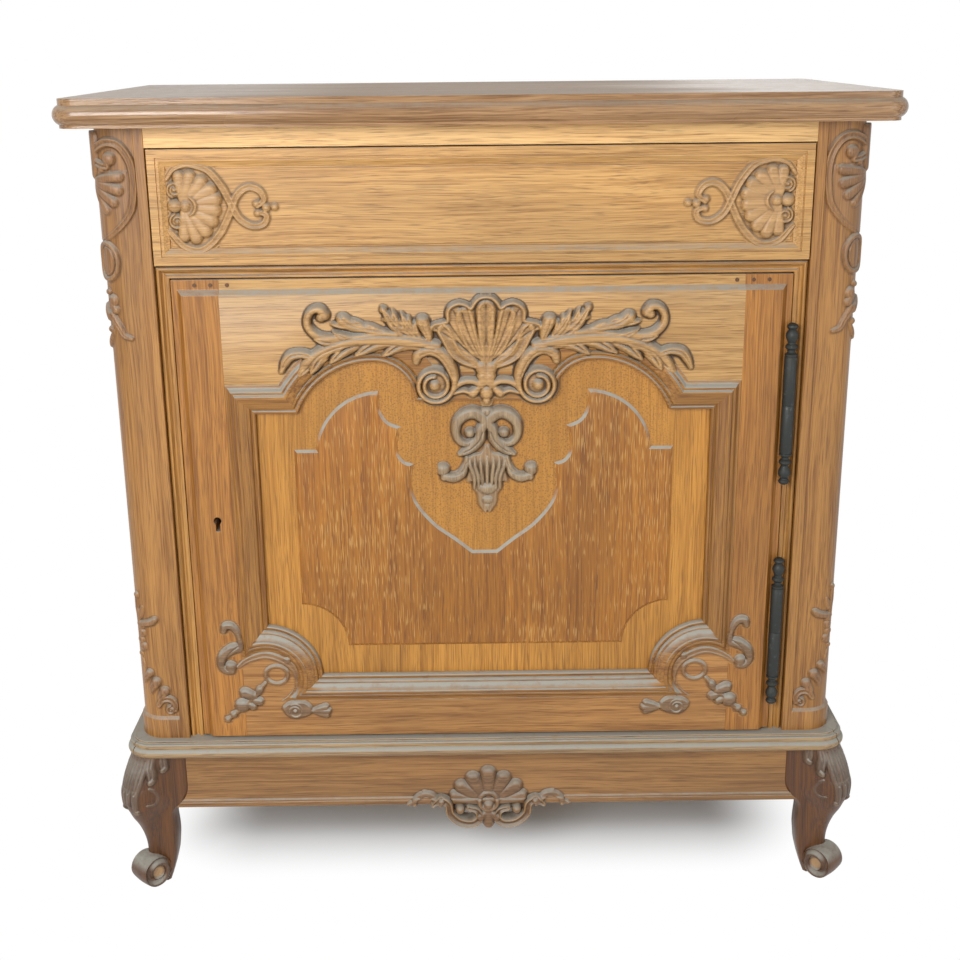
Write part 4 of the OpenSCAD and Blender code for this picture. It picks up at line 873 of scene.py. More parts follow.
    def groove(self, points: Sequence[Point], width: float, depth: float) -> "Relief":
        """Cuts a vein along a curve.

        Args:
            points: Points that the curve passes through.
            width: Half of its width.
            depth: Its depth.

        Returns:
            The carving itself.
        """
        path, _ = smooth_path(points)
        rows, cols, ratio, _, _ = self.spread(path, np.full(len(path), width))
        cut = np.where(ratio < 1, (1 - np.clip(ratio, 0, 1) ** 2) * depth, 0)
        self.h[rows, cols] = np.maximum(self.h[rows, cols] - cut, np.minimum(self.h[rows, cols], 0.4))
        return self

    def mirrored(self) -> "Relief":
        """Copies the left half onto the right one, where the grid's middle is the middle of the carving."""
        self.h = np.maximum(self.h, self.h[:, ::-1])
        return self

    def piece(self, name: str, body: str, slot: str, finish: OakFinish,
              place: Placer, ground: Optional[np.ndarray] = None,
              depth: Union[float, np.ndarray] = 0.6, flip: bool = False) -> Object:
        """Turns the carving into a closed piece with a thin edge that lies on its ground.

        Args:
            name: Name of the piece.
            body: Its body.
            slot: Its material slot.
            finish: Its finish.
            place: Puts across, up and height in the cabinet's frame.
            ground: Where there is a ground to lie on; everywhere if left out.
            depth: How far its back lies behind the ground.
            flip: Whether place turns it into its mirror image.

        Returns:
            The new object.
        """
        h = blurred(self.h, 1)
        h = np.where(self.h > 0, 0.35 * h + 0.65 * np.minimum(self.h, blurred(h, 1) + 1.2), h)
        h = blurred(h, 1) * 0.5 + h * 0.5
        wide = blurred(blurred(h, 3), 3)
        near = blurred((h > 0.25).astype(float), max(2, int(2.4 / self.step))) > 0
        if ground is not None:
            near &= ground | (h > 0.5)
        # Dirt and painted shade where the carving lies below its own average, and on the ground round it
        hollow = np.clip((wide - h - 0.1) / 1.6, 0, 1) * 0.95
        # Wear and a painted highlight where it stands above it, stained by its height
        worn = np.clip((h - wide - 0.7) / 2.2, 0, 1) * 0.5
        stain = np.clip((h - 0.15) / 1.2, 0, 1) * np.clip(0.45 + h / 9, 0, 1)
        cells = near[:-1, :-1] & near[1:, :-1] & near[:-1, 1:] & near[1:, 1:]
        rows, cols = cells.shape
        number = np.arange((rows + 1) * (cols + 1)).reshape(rows + 1, cols + 1)
        a, b, c, d = number[:-1, :-1], number[:-1, 1:], number[1:, 1:], number[1:, :-1]
        front = np.stack([a[cells], b[cells], c[cells], d[cells]], 1)
        shift = number.size
        pad = np.pad(cells, 1)
        walls = []
        for gone, p, q in ((~pad[:-2, 1:-1], a, b), (~pad[2:, 1:-1], c, d), (~pad[1:-1, :-2], d, a),
                           (~pad[1:-1, 2:], b, c)):
            edge = cells & gone
            walls.append(np.stack([q[edge], p[edge], p[edge] + shift, q[edge] + shift], 1))
        faces = np.concatenate([front, front[:, ::-1] + shift] + walls)
        uu, vv = np.meshgrid(self.u, self.v)
        lift = np.maximum(h, 0.12)
        points = np.concatenate([place(uu, vv, lift).reshape(-1, 3),
            place(uu, vv, -np.broadcast_to(depth, uu.shape)).reshape(-1, 3)])
        used, back = np.unique(faces, return_inverse=True)
        faces = back.reshape(faces.shape)
        if flip:
            faces = faces[:, ::-1]
        marks = {k: np.concatenate([m.ravel(), m.ravel() * 0])[used]
                 for k, m in (("stain", stain), ("hollow", hollow), ("worn", worn))}
        return Piece(name, body, slot, finish).add(points[used], faces, **marks).make(smooth=70.0)


def flat_at(y: float, side: int = 1) -> Placer:
    """Places a carving on an upright plane, or its mirror image for side -1."""
    return lambda u, v, h: np.stack([u * side, y - h, v], -1)


# Outlines of the door


def arc(centre: Point, radius: float, start: float, end: float, count: int) -> Line:
    """Gives points along an arc between two angles in radians."""
    return [(centre[0] + radius * math.cos(a), centre[1] + radius * math.sin(a))
            for a in np.linspace(start, end, count)]


def low_edge(e: float) -> Line:
    """Right half of the lower edge of the panel opening made larger by e, up to the mitre at the side.

    Args:
        e: How much larger the opening is made.

    Returns:
        Its points, from the middle line.
    """
    s = SIZE
    r = s.scoop_r - e
    drop = s.z_open - e - s.scoop_z
    start = (s.scoop_x - math.sqrt(r * r - drop * drop), s.z_open - e)
    out = s.opening_half + e - s.scoop_x
    end = s.scoop_z + math.sqrt(r * r - out * out)
    points = [(x, s.z_open - e) for x in np.linspace(0, start[0], 12, endpoint=False)]
    points += arc((s.scoop_x, s.scoop_z), r, math.atan2(drop, start[0] - s.scoop_x) % (2 * math.pi),
        math.atan2(end - s.scoop_z, out), 40)
    return points + [(s.opening_half + e, s.mitre_z - e)]


def high_edge(e: float) -> Line:
    """Right half of the upper edge of the opening made larger by e, from the shoulder to the middle.

    Args:
        e: How much larger the opening is made.

    Returns:
        Its points, to the middle line.
    """
    s = SIZE
    big = (s.arch_x, s.z_crown - s.big_r)
    small = (s.arch_x, s.z_crown - s.small_r)
    shoulder = s.z_shoulder + e
    a0 = math.asin((shoulder - big[1]) / (s.big_r + e))
    foot = s.arch_x + (s.big_r + e) * math.cos(a0)
    points = [(x, shoulder) for x in np.linspace(s.opening_half + e, foot, 6, endpoint=False)]
    points += arc(big, s.big_r + e, a0, math.pi / 2, 30)
    rise = s.z_mid + e - small[1]
    a1 = math.pi - math.asin(rise / (s.small_r + e))
    points += arc(small, s.small_r + e, math.pi / 2, a1, 24)[1:]
    return points + [(x, s.z_mid + e) for x in np.linspace(points[-1][0], 0, 8)[1:]]


def both_halves(right: Line) -> Line:
    """Joins a right half that starts on the middle line with its mirror image, from left to right."""
    return [(-x, z) for x, z in right[:0:-1]] + right


def whole_high_edge(e: float) -> Line:
    """Upper edge of the opening made larger by e, from right to left."""
    right = high_edge(e)
    return right + [(-x, z) for x, z in right[-2::-1]]


def opening_loop(e: float) -> Line:
    """Whole outline of the opening made larger by e, counter-clockwise as seen from the front."""
    return both_halves(low_edge(e)) + whole_high_edge(e)


def set_in(loop: Sequence[Point], by: float) -> np.ndarray:
    """Moves a counter-clockwise loop inwards by a distance, with its corners mitred.

    Args:
        loop: The loop's points.
        by: The distance.

    Returns:
        As many points as the loop has; where a corner is too tight for the distance, some of them meet.
    """
    p = np.asarray(loop, float)
    before, after = p - np.roll(p, 1, 0), np.roll(p, -1, 0) - p
    n1 = np.stack([-before[:, 1], before[:, 0]], 1) / np.linalg.norm(before, axis=1)[:, None]
    n2 = np.stack([-after[:, 1], after[:, 0]], 1) / np.linalg.norm(after, axis=1)[:, None]
    n = n1 + n2
    n /= np.maximum((n * n1).sum(1), 0.5)[:, None]
    moved = p + n * by
    if by < 0.2:
        return moved
    t = np.clip(((moved[:, None] - p) * after).sum(2) / (after ** 2).sum(1), 0, 1)
    near = np.linalg.norm(moved[:, None] - p - t[..., None] * after, axis=2).min(1)
    kept = np.flatnonzero(near > by * 0.97)
    for i in np.flatnonzero(near <= by * 0.97):
        k = np.searchsorted(kept, i)
        moved[i] = (moved[kept[k - 1]] + moved[kept[k % len(kept)]]) / 2
    return moved


def stepped_plate(piece: Piece, loop: Sequence[Point], steps: Sequence[tuple[float, float]]) -> Piece:
    """Adds a flat plate whose edge follows a loop and whose rim has steps.

    Args:
        piece: The piece that gets it.
        loop: Its outline, counter-clockwise as seen from the front.
        steps: From the back to the front: how far the rim is set in, and its place in depth.

    Returns:
        The piece itself.
    """
    rings = []
    for by, y in steps:
        edge = set_in(loop, by)
        rings.append(np.stack([edge[:, 0], np.full(len(edge), y), edge[:, 1]], 1))
    return piece.tube(rings)


# Geometry Nodes


def open_tree(name: str, **kinds: str) -> tuple[NodeTree, dict[str, str], Sequence[NodeSocket]]:
    """Starts a tree that gives a mesh.

    Args:
        name: Its name.
        kinds: For each of its inputs, the kind of socket.

    Returns:
        The tree, the identifiers of its inputs by name, and the sockets that give their values.
    """
    tree = bpy.data.node_groups.new(name, "GeometryNodeTree")
    sockets = {key: tree.interface.new_socket(key, in_out="INPUT", socket_type="NodeSocket" + kind).identifier
        for key, kind in kinds.items()}
    tree.interface.new_socket("Mesh", in_out="OUTPUT", socket_type="NodeSocketGeometry")
    return tree, sockets, add_node(tree, "NodeGroupInput")


def close_tree(tree: NodeTree, given: Sequence[NodeSocket], result: NodeSocket) -> None:
    """Makes a tree's result real, gives it the finish and sends it out.

    Args:
        tree: The tree.
        given: The sockets of its inputs.
        result: The socket of its result.
    """
    run = add_node(tree, "GeometryNodeRealizeInstances", [result])[0]
    run = add_node(tree, "GeometryNodeSetMaterial", {0: run, "Material": given["Finish"]})[0]
    add_node(tree, "NodeGroupOutput", [run])


def moulding_tree() -> Grower:
    """Builds the tree that runs a moulding's section along a path.

    Returns:
        The tree, and the identifiers of its inputs by name.
    """
    tree, sockets, given = open_tree("moulding_run", Path="Geometry", Section="Object", Finish="Material")
    path = add_node(tree, "GeometryNodeMeshToCurve", [given["Path"]])[0]
    path = add_node(tree, "GeometryNodeSetCurveNormal", [path], mode="Z_UP")[0]
    shape = add_node(tree, "GeometryNodeObjectInfo", {"Object": given["Section"]})["Geometry"]
    shape = add_node(tree, "GeometryNodeMeshToCurve", [shape])[0]
    run = add_node(tree, "GeometryNodeCurveToMesh", {"Curve": path, "Profile Curve": shape, "Fill Caps": True})[0]
    close_tree(tree, given, run)
    return tree, sockets


def turned_tree() -> Grower:
    """Builds the tree that turns round work, whose radius is an attribute of its axis.

    Returns:
        The tree, and the identifiers of its inputs by name.
    """
    tree, sockets, given = open_tree("turned_work", Axis="Geometry", Sides="Int", Finish="Material")
    radius = add_node(tree, "GeometryNodeInputNamedAttribute", {"Name": "turning"}, data_type="FLOAT")[0]
    axis = add_node(tree, "GeometryNodeMeshToCurve", [given["Axis"]])[0]
    ring = add_node(tree, "GeometryNodeCurvePrimitiveCircle", {"Resolution": given["Sides"], "Radius": 1.0})[0]
    work = add_node(tree, "GeometryNodeCurveToMesh", {"Curve": axis, "Profile Curve": ring, "Scale": radius,
        "Fill Caps": True})[0]
    close_tree(tree, given, work)
    return tree, sockets


def peg_tree() -> Grower:
    """Builds the tree that sets a wooden peg in each point, each turned a little differently.

    Returns:
        The tree, and the identifiers of its inputs by name.
    """
    tree, sockets, given = open_tree("pegs", Places="Geometry", Radius="Float", Length="Float", Seed="Int",
        Finish="Material")
    peg = add_node(tree, "GeometryNodeMeshCylinder", {"Vertices": 8, "Radius": given["Radius"],
        "Depth": given["Length"]})["Mesh"]
    turn = add_node(tree, "FunctionNodeRandomValue", {2: 0.0, 3: 1.5, "Seed": given["Seed"]}, data_type="FLOAT")[1]
    turn = add_node(tree, "ShaderNodeCombineXYZ", [math.pi / 2, turn])[0]
    turn = add_node(tree, "FunctionNodeEulerToRotation", [turn])[0]
    pegs = add_node(tree, "GeometryNodeInstanceOnPoints", {"Points": given["Places"], "Instance": peg,
        "Rotation": turn})[0]
    close_tree(tree, given, pegs)
    return tree, sockets


def line_mesh(name: str, points: np.ndarray, closed: bool = False, edges: bool = True) -> Mesh:
    """Makes a mesh of one line through points in millimetres.

    Args:
        name: Its name.
        points: The points.
        closed: Whether the line is a loop.
        edges: Whether the points are joined.

    Returns:
        The new mesh.
    """
    made = bpy.data.meshes.new(name)
    n = len(points)
    links = [(i, (i + 1) % n) for i in range(n if closed else n - 1)] if edges else []
    made.from_pydata((np.asarray(points, float) * MM).tolist(), links, [])
    return made


def grown(name: str, start: Mesh, trees: Grower, inputs: dict) -> Mesh:
    """Runs a Geometry Nodes tree on a mesh and gives its result as a plain mesh.

    Args:
        name: Name of the result.
        start: The mesh that the tree starts from.
        trees: The tree and the identifiers of its inputs.
        inputs: Values of its inputs by name.

    Returns:
        A closed mesh whose faces point outwards.
    """
    tree, sockets = trees
    holder = bpy.data.objects.new(name + "_start", start)
    bpy.context.scene.collection.objects.link(holder)
    modifier = holder.modifiers.new("grow", "NODES")
    modifier.node_group = tree
    for key, value in inputs.items():
        modifier[sockets[key]] = value
    graph = bpy.context.evaluated_depsgraph_get()
    result = bpy.data.meshes.new_from_object(holder.evaluated_get(graph))
    bpy.data.objects.remove(holder)
    work = bmesh.new()
    work.from_mesh(result)
    bmesh.ops.remove_doubles(work, verts=work.verts, dist=1e-6)
    bmesh.ops.recalc_face_normals(work, faces=work.faces)
    work.to_mesh(result)
    work.free()
    result.name = name
    return result


def joined(first: Mesh, second: Mesh) -> Mesh:
    """Adds the second mesh to the first, and gives the first.

    Args:
        first: The mesh that grows.
        second: The mesh that it takes up.

    Returns:
        The first mesh.
    """
    work = bmesh.new()
    work.from_mesh(first)
    work.from_mesh(second)
    work.to_mesh(first)
    work.free()
    return first


# Sub-assemblies


@dataclass
class TopBoard:
    """The moulded top board and the screws that hold it from below."""

    def build(self) -> None:
        """Dresses the board's own solid, whose rounded nose and fillets are as the real one's."""
        dress("top_board", TOP)
        dress("top_screws", STEEL)


@dataclass
class FrontPost:
    """A front post with its rounded, sunk and carved corner."""

    side: int
    name: str
    plinth_top: float = 242.0
    ledge_top: float = 246.4
    arc_steps: int = 14
    head: tuple = (0.0, 735.0, 72.0, 996.0)
    foot: tuple = (0.0, 246.0, 72.0, 424.0)

    def plan(self, e: float) -> Line:
        """Plan of the post, its face set in by e behind the plain strip.

        Args:
            e: How far the face is set in.

        Returns:
            Points from the opening's edge round to the inner back.
        """
        s = SIZE
        r = s.post_round - e
        y = s.front + e
        cx, cy = s.half_w - s.post_round, s.front + s.post_round
        back = s.front + s.post_w
        inner, strip = s.inner_x, s.inner_x + s.post_strip
        points = [(inner, s.front + 0.6), (inner + 0.6, s.front), (strip - 0.6, s.front),
            (strip, s.front + min(e, 0.6)), (strip, y - 0.5 * (e > 1)), (strip + 0.8, y)]
        points += arc((cx, cy), r, -math.pi / 2, 0, self.arc_steps)
        return points + [(s.half_w - e, back), (inner, back)]

    def developed(self, x: np.ndarray) -> np.ndarray:
        """Turns a distance from the middle, read on the plane of the post's face, into one along its skin.

        Args:
            x: Distances from the middle.

        Returns:
            Distances along the skin.
        """
        s = SIZE
        along = np.linspace(0, 62, 200)
        p = self.skin(along, np.zeros_like(along), np.full_like(along, 2.0))
        seen = (np.abs(p[:, 0]) + EYE[0]) * (s.front - EYE[1]) / (p[:, 1] - EYE[1]) - EYE[0]
        return np.interp(x, seen, along)

    def skin(self, u: np.ndarray, v: np.ndarray, h: np.ndarray) -> np.ndarray:
        """Puts a point on the sunk skin: u runs from the strip round the corner, v up, h outwards.

        Args:
            u: Distance from the strip.
            v: Height.
            h: Height above the skin.

        Returns:
            The places in the cabinet's frame.
        """
        s = SIZE
        r = s.post_round - s.post_sink
        flat = s.post_w - s.post_strip - s.post_round
        turn = np.clip((u - flat) / r, 0, math.pi / 2)
        past = np.maximum(u - flat - r * math.pi / 2, 0)
        x = s.inner_x + s.post_strip + np.minimum(u, flat) + (r + h) * np.sin(turn)
        y = s.front + s.post_round - (r + h) * np.cos(turn) + past
        return np.stack([x * self.side, y, v + 0 * u], -1)

    def build(self) -> None:
        """Builds the post, then the carving at its head and at its foot."""
        s = SIZE
        post = Piece(f"post_{self.name}", "carcass", "oak_frame", FRAME)
        rings = []
        for z, e in ((s.z_low, 0.0), (self.plinth_top, 0.0), (self.plinth_top + 1.0, 0.5),
                     (self.ledge_top - 0.4, s.post_sink - 0.3), (self.ledge_top, s.post_sink),
                     (s.z_top, s.post_sink)):
            rings.append([(x * self.side, y, z) for x, y in self.plan(e)])
        flip = self.side < 0
        post.tube(rings, flip=flip).make(f"front_post_{self.name}", smooth=30.0)
        for part, box, carve in (("head", self.head, self.carve_head), ("foot", self.foot, self.carve_foot)):
            relief = Relief(box[:2], box[2:])
            carve(relief)
            relief.piece(f"{post.name}_{part}_carving", "carcass", "oak_frame", FRAME, self.skin, flip=flip)

    def spot(self, x: float, z: float) -> tuple[float, float]:
        """Turns a place read on the face's plane, distance from the middle and height, into one on the skin."""
        return float(self.developed(np.array([x]))[0]), z

    def at(self, points: Sequence[Point]) -> Line:
        """Turns several places into places on the skin."""
        return [self.spot(*p) for p in points]

    def carve_head(self, relief: Relief) -> None:
        """Carves a C-scroll with four leaves, a long ring and a hanging leaf.

        Args:
            relief: Takes the carving.
        """
        at, spot = self.at, self.spot
        scroll = at([(448, 868), (436, 878), (422, 891), (412, 906), (408, 925), (407, 945), (410, 963), (420, 979),
            (434, 984), (446, 978), (450, 966), (445, 958), (437, 956)])
        relief.patch(at([(455, 945), (440, 952), (425, 948), (414, 950), (412, 930), (415, 910), (424, 894),
            (436, 881), (450, 868), (457, 900)]), 1.4, 2)
        relief.stroke(scroll, (2.5, 3.2, 4, 4.5, 4.8, 5, 5, 4.5, 3.8), (2.5, 4, 5, 5.5, 5.5), Cut.HOLLOW)
        relief.ball(spot(434, 965), 8, 6.5)
        for tip, width in zip(at([(438, 901), (427, 911), (419, 927), (417, 945)]), (6, 6.5, 7, 6.5)):
            relief.lobe(spot(453, 940), tip, width, 5.5)
        relief.ball(spot(452, 951), 7, 5.5).ball(spot(443, 953), 4.5, 5)
        relief.patch([(49, 995), (71, 995), (71, 944), (60, 939), (53, 946), (49, 960)], 6, 7)
        left, right = (p[0] for p in at([(455, 845), (433, 845)]))
        middle, across = (left + right) / 2, abs(left - right) / 2
        relief.ring((middle, 845), across, 21.5, 3.2, 4.5).ball((middle, 845), across * 0.62, 2.6, upright=2.2)
        relief.ring((middle, 845), across * 0.62, 16, 1.2, 3.0)
        relief.ball(spot(447, 808), 4.5, 4.5).ball(spot(443, 798), 7.5, 5.5)
        relief.lobe(spot(447, 798), spot(438, 783), 5.5, 5)
        relief.lobe(spot(450, 792), spot(445, 773), 6, 5.5)
        relief.stroke(at([(445, 780), (438, 766), (433, 756), (424, 752)]), (5.5, 4.5, 4, 2.5), (5, 4.5, 4, 4),
            Cut.VEINED)
        relief.ball(spot(448, 762), 4.5, 4.5).leaflet(spot(446, 760), spot(450, 738), 4.5, 4)

    def carve_foot(self, relief: Relief) -> None:
        """Carves the stalk with leaves and berries that climbs from the plinth.

        Args:
            relief: Takes the carving.
        """
        at, spot = self.at, self.spot
        relief.ball(spot(447, 415), 4.5, 4)
        relief.stroke(at([(447, 412), (447, 398), (446, 385), (445, 340)]), (2.5, 3.2, 4, 3.5), 3.5)
        relief.leaflet(spot(441, 400), spot(446, 380), 4.5, 4)
        relief.stroke(at([(446, 376), (438, 378), (430, 381), (426, 384)]), (3.5, 4.5, 5, 4.5), (4, 5, 5.5, 5))
        for x, z, r in ((444, 374, 6), (444, 364, 6.5), (445, 354, 6), (443, 345, 6)):
            relief.ball(spot(x, z), r, 4.5)
        relief.ball(spot(447, 333), 4, 3.5).leaflet(spot(447, 328), spot(443, 312), 3, 3)
        for x, z, r in ((438, 308, 5.5), (430, 296, 6.5), (420, 283, 6.5)):
            centre, tail = at([(x, z), (x + 8, z - 16)])
            relief.stroke([centre, ((centre[0] + tail[0]) / 2 + 2, z - 9), tail], (r, r * 0.8, 2.5),
                (5, 4.5, 2.5), Cut.VEINED).ball(centre, r, 5.5)
        relief.stroke(at([(430, 262), (424, 270), (414, 271), (408, 264), (408, 256)]), (3, 4, 4.5, 4.5, 3), 4.5,
            Cut.HOLLOW)
        relief.volute(spot(414, 256), 7, 90, 1.0, 6, hand=-1)


@dataclass
class Surround:
    """The fixed moulded strips round the door opening."""

    face: float = -220.0
    back: float = -200.0
    side_w: float = 17.0
    top_h: float = 14.5

    def section(self, width: float) -> Line:
        """Section from the post inwards: distance from the post, and depth behind the strip's face.

        Args:
            width: Width of the strip.

        Returns:
            Its points.
        """
        bead = [(3.5 + 2.4 * math.cos(a), 2.4 - 2.4 * math.sin(a)) for a in np.linspace(math.pi, 0, 9)]
        cove = [(9.0 + 2.6 * math.cos(a), 1.6 + 3.0 * math.sin(a)) for a in np.linspace(math.pi, 0, 7)]
        return [(0.0, 6.0), (0.8, 6.0)] + bead + [(6.1, 1.6)] + cove + [(11.8, 1.2), (width - 0.5, 1.0),
            (width, 1.5)]

    def build(self) -> None:
        """Builds the two upright strips and the one above the door, with their mitres."""
        s = SIZE
        for side, name in SIDES:
            loop = self.section(self.side_w)
            rings = [[(side * (s.inner_x - w), self.face + d, z if z < 500 else z - w * self.top_h / self.side_w)
                for w, d in loop + [(self.side_w, self.back - self.face), (0.0, self.back - self.face)]]
                for z in (s.z_low, s.z_drawer_rail)]
            Piece(f"door_strip_{name}", "carcass", "oak_moulding", STRIP).tube(
                rings, flip=side > 0).make(f"door_surround_{name}")
        loop = self.section(self.top_h)
        rings = [[(side * (s.inner_x - w * self.side_w / self.top_h), self.face + d, s.z_drawer_rail - w)
            for w, d in loop + [(self.top_h, self.back - self.face), (0.0, self.back - self.face)]]
            for side in (-1, 1)]
        Piece("door_strip_top", "carcass", "oak_moulding", STRIP_ACROSS).tube(rings).make(
            "door_surround_top")


@dataclass
class BaseMoulding:
    """The base moulding: one section run along the front and both sides, mitred at the corners."""

    corner_r: float = 38.0
    out: float = 19.0
    inner: float = 70.0
    lap: float = 1.2

    def section(self) -> np.ndarray:
        """Section across the moulding: distance from the path outwards, and height.

        Returns:
            Its points, with the path in the middle.
        """
        z = SIZE.z_base
        half, r = self.corner_r / 2, self.corner_r
        nose = [(r - 7 + 7 * math.cos(a), z + 7 + 7 * math.sin(a)) for a in np.radians(np.linspace(-90, 68, 14))]
        steps = [(r - 3.8, z + 14.6), (r - 3.8, z + 18.6), (r - 4.6, z + 19.8), (r - 8.4, z + 20.0),
            (r - 9, z + 20.6), (r - 9, z + 22.4), (r - 9.6, z + 23), (1.0, z + 23)]
        points = [(1.0, z)] + nose + steps
        return np.array([(x - half, -height, 0) for x, height in points])

    def run(self, name: str, path: Line, trees: Grower, finish: OakFinish) -> Mesh:
        """Runs the section along a path of places seen from above.

        Args:
            name: Name of the run.
            path: Its places.
            trees: The tree that runs a section.
            finish: Its finish.

        Returns:
            The run's mesh.
        """
        cut = bpy.data.objects.new(name + "_section", line_mesh(name + "_section", self.section(), closed=True))
        bpy.context.scene.collection.objects.link(cut)
        start = line_mesh(name, np.array([(x, y, 0) for x, y in path]))
        made = grown(name, start, trees, {"Section": cut, "Finish": finish.material()})
        bpy.data.objects.remove(cut)
        return made

    def build(self, trees: Grower) -> None:
        """Builds the front run and the side runs, each with the flat part that reaches under the body.

        Args:
            trees: The tree that runs a section.
        """
        s = SIZE
        half = self.corner_r / 2
        cx, cy = s.half_w + self.out - self.corner_r, s.front - self.out + self.corner_r
        quarter = arc((cx, cy), half, -math.pi / 2, -math.pi / 4, 9)
        front = self.run("base_run_front", both_halves([(0.0, cy - half)] + quarter), trees, BASE)
        z0, z1 = s.z_base, s.z_low
        inner_x, inner_y = s.half_w - self.inner, s.front + self.inner
        flat = Piece("flat", "carcass", "oak_base", BASE).tube([
            [(-cx, cy - self.lap, z), (cx, cy - self.lap, z), (cx, cy, z), (inner_x, inner_y, z),
             (-inner_x, inner_y, z), (-cx, cy, z)] for z in (z0, z1)])
        self.with_flat(front, flat, "base_moulding_front", BASE)
        for side, name in SIDES:
            path = [(side * x, y) for x, y in arc((cx, cy), half, -math.pi / 4, 0, 9) + [(cx + half, s.back)]]
            run = self.run(f"base_run_{name}", path[::side], trees, BASE_SIDE)
            flat = Piece("flat", "carcass", "oak_base", BASE_SIDE).tube([
                [(side * x, y, z) for x, y in ((inner_x, inner_y), (cx, cy), (cx + self.lap, cy),
                 (cx + self.lap, s.back), (inner_x, s.back))] for z in (z0, z1)], flip=side < 0)
            self.with_flat(run, flat, f"base_moulding_{name}", BASE_SIDE)

    def with_flat(self, run: Mesh, flat: Piece, node: str, finish: OakFinish) -> None:
        """Joins a run with its flat part into one piece that stands for a node."""
        finish_object(run.name, joined(run, flat.plain()), "carcass", finish, (node,), 35.0)


@dataclass
class Apron:
    """The front apron with its bead and the scallop shell in its middle."""

    half: float = 418.0
    height: float = 82.5
    thick: float = 22.0
    shell_x: float = 2.0
    shell_half: float = 128.0

    def build(self) -> None:
        """Builds the board with its bead, then the shell."""
        s = SIZE
        y, z = s.apron_y, s.z_base - self.height
        bead = [(0.0, self.height), (0.0, 12.4), (-0.5, 11.2), (-1.4, 10.6), (-2.0, 9.6), (-2.0, 8.6),
            (-1.2, 8.0), (-1.2, 7.4), (-1.7, 6.9), (-2.0, 5.6), (-2.0, 2.4), (-1.6, 0.9), (-0.6, 0.0),
            (self.thick, 0.0), (self.thick, self.height)]
        rings = [[(x, y + d, z + up) for d, up in bead] for x in (-self.half, self.half)]
        Piece("apron_front", "carcass", "oak_base", APRON).tube(rings).make("front_apron")
        relief = Relief((self.shell_x - self.shell_half, 66), (self.shell_x + self.shell_half, 174))
        self.carve(relief)
        board = np.broadcast_to((relief.v > z + 11.5)[:, None], relief.h.shape)
        low = np.clip((z + 13 - relief.v) / 1.5, 0, 1)[:, None]
        depth = np.broadcast_to(0.6 + 9.0 * low, relief.h.shape)
        relief.h = np.where((relief.h > 0.3) & ~board, relief.h + 2.6, relief.h)
        relief.piece("apron_shell", "carcass", "oak_base", APRON, flat_at(y), ground=board, depth=depth)

    def carve(self, relief: Relief) -> None:
        """Carves the left half of the shell and mirrors it.

        Args:
            relief: Takes the carving.
        """
        relief.lobe((2, 114), (2, 167), 11, 8.5)
        for x, z, w in ((-23, 158, 10.5), (-42, 143, 10), (-50, 126, 8)):
            relief.lobe((0, 114), (x, z), w, 8)
        relief.ring((2, 118), 12, 12, 4, 10).ball((2, 112), 8, 12)
        relief.stroke([(-72, 112), (-62, 120), (-52, 113), (-49, 99), (-37, 87), (-20, 84), (-10, 92), (-13, 103),
            (-24, 107)], (3.5, 5, 5.5, 6, 6.5, 6.5, 6, 5, 4), 9, Cut.HOLLOW)
        relief.ball((-36, 104), 6.5, 9).ball((-61, 117), 5.5, 9)
        relief.lobe((2, 106), (2, 76), 8, 9).lobe((-1, 102), (-12, 88), 6, 8)
        relief.stroke([(-62, 112), (-75, 125), (-88, 125), (-97, 118), (-98, 111)], (4, 5, 4.5, 3.5, 2.4),
            (6, 6, 5, 5, 4))
        relief.ball((-97, 112), 3.5, 5)
        relief.leaflet((-70, 122), (-86, 131), 4, 4).leaflet((-94, 116), (-108, 112), 3.5, 4)
        relief.mirrored()


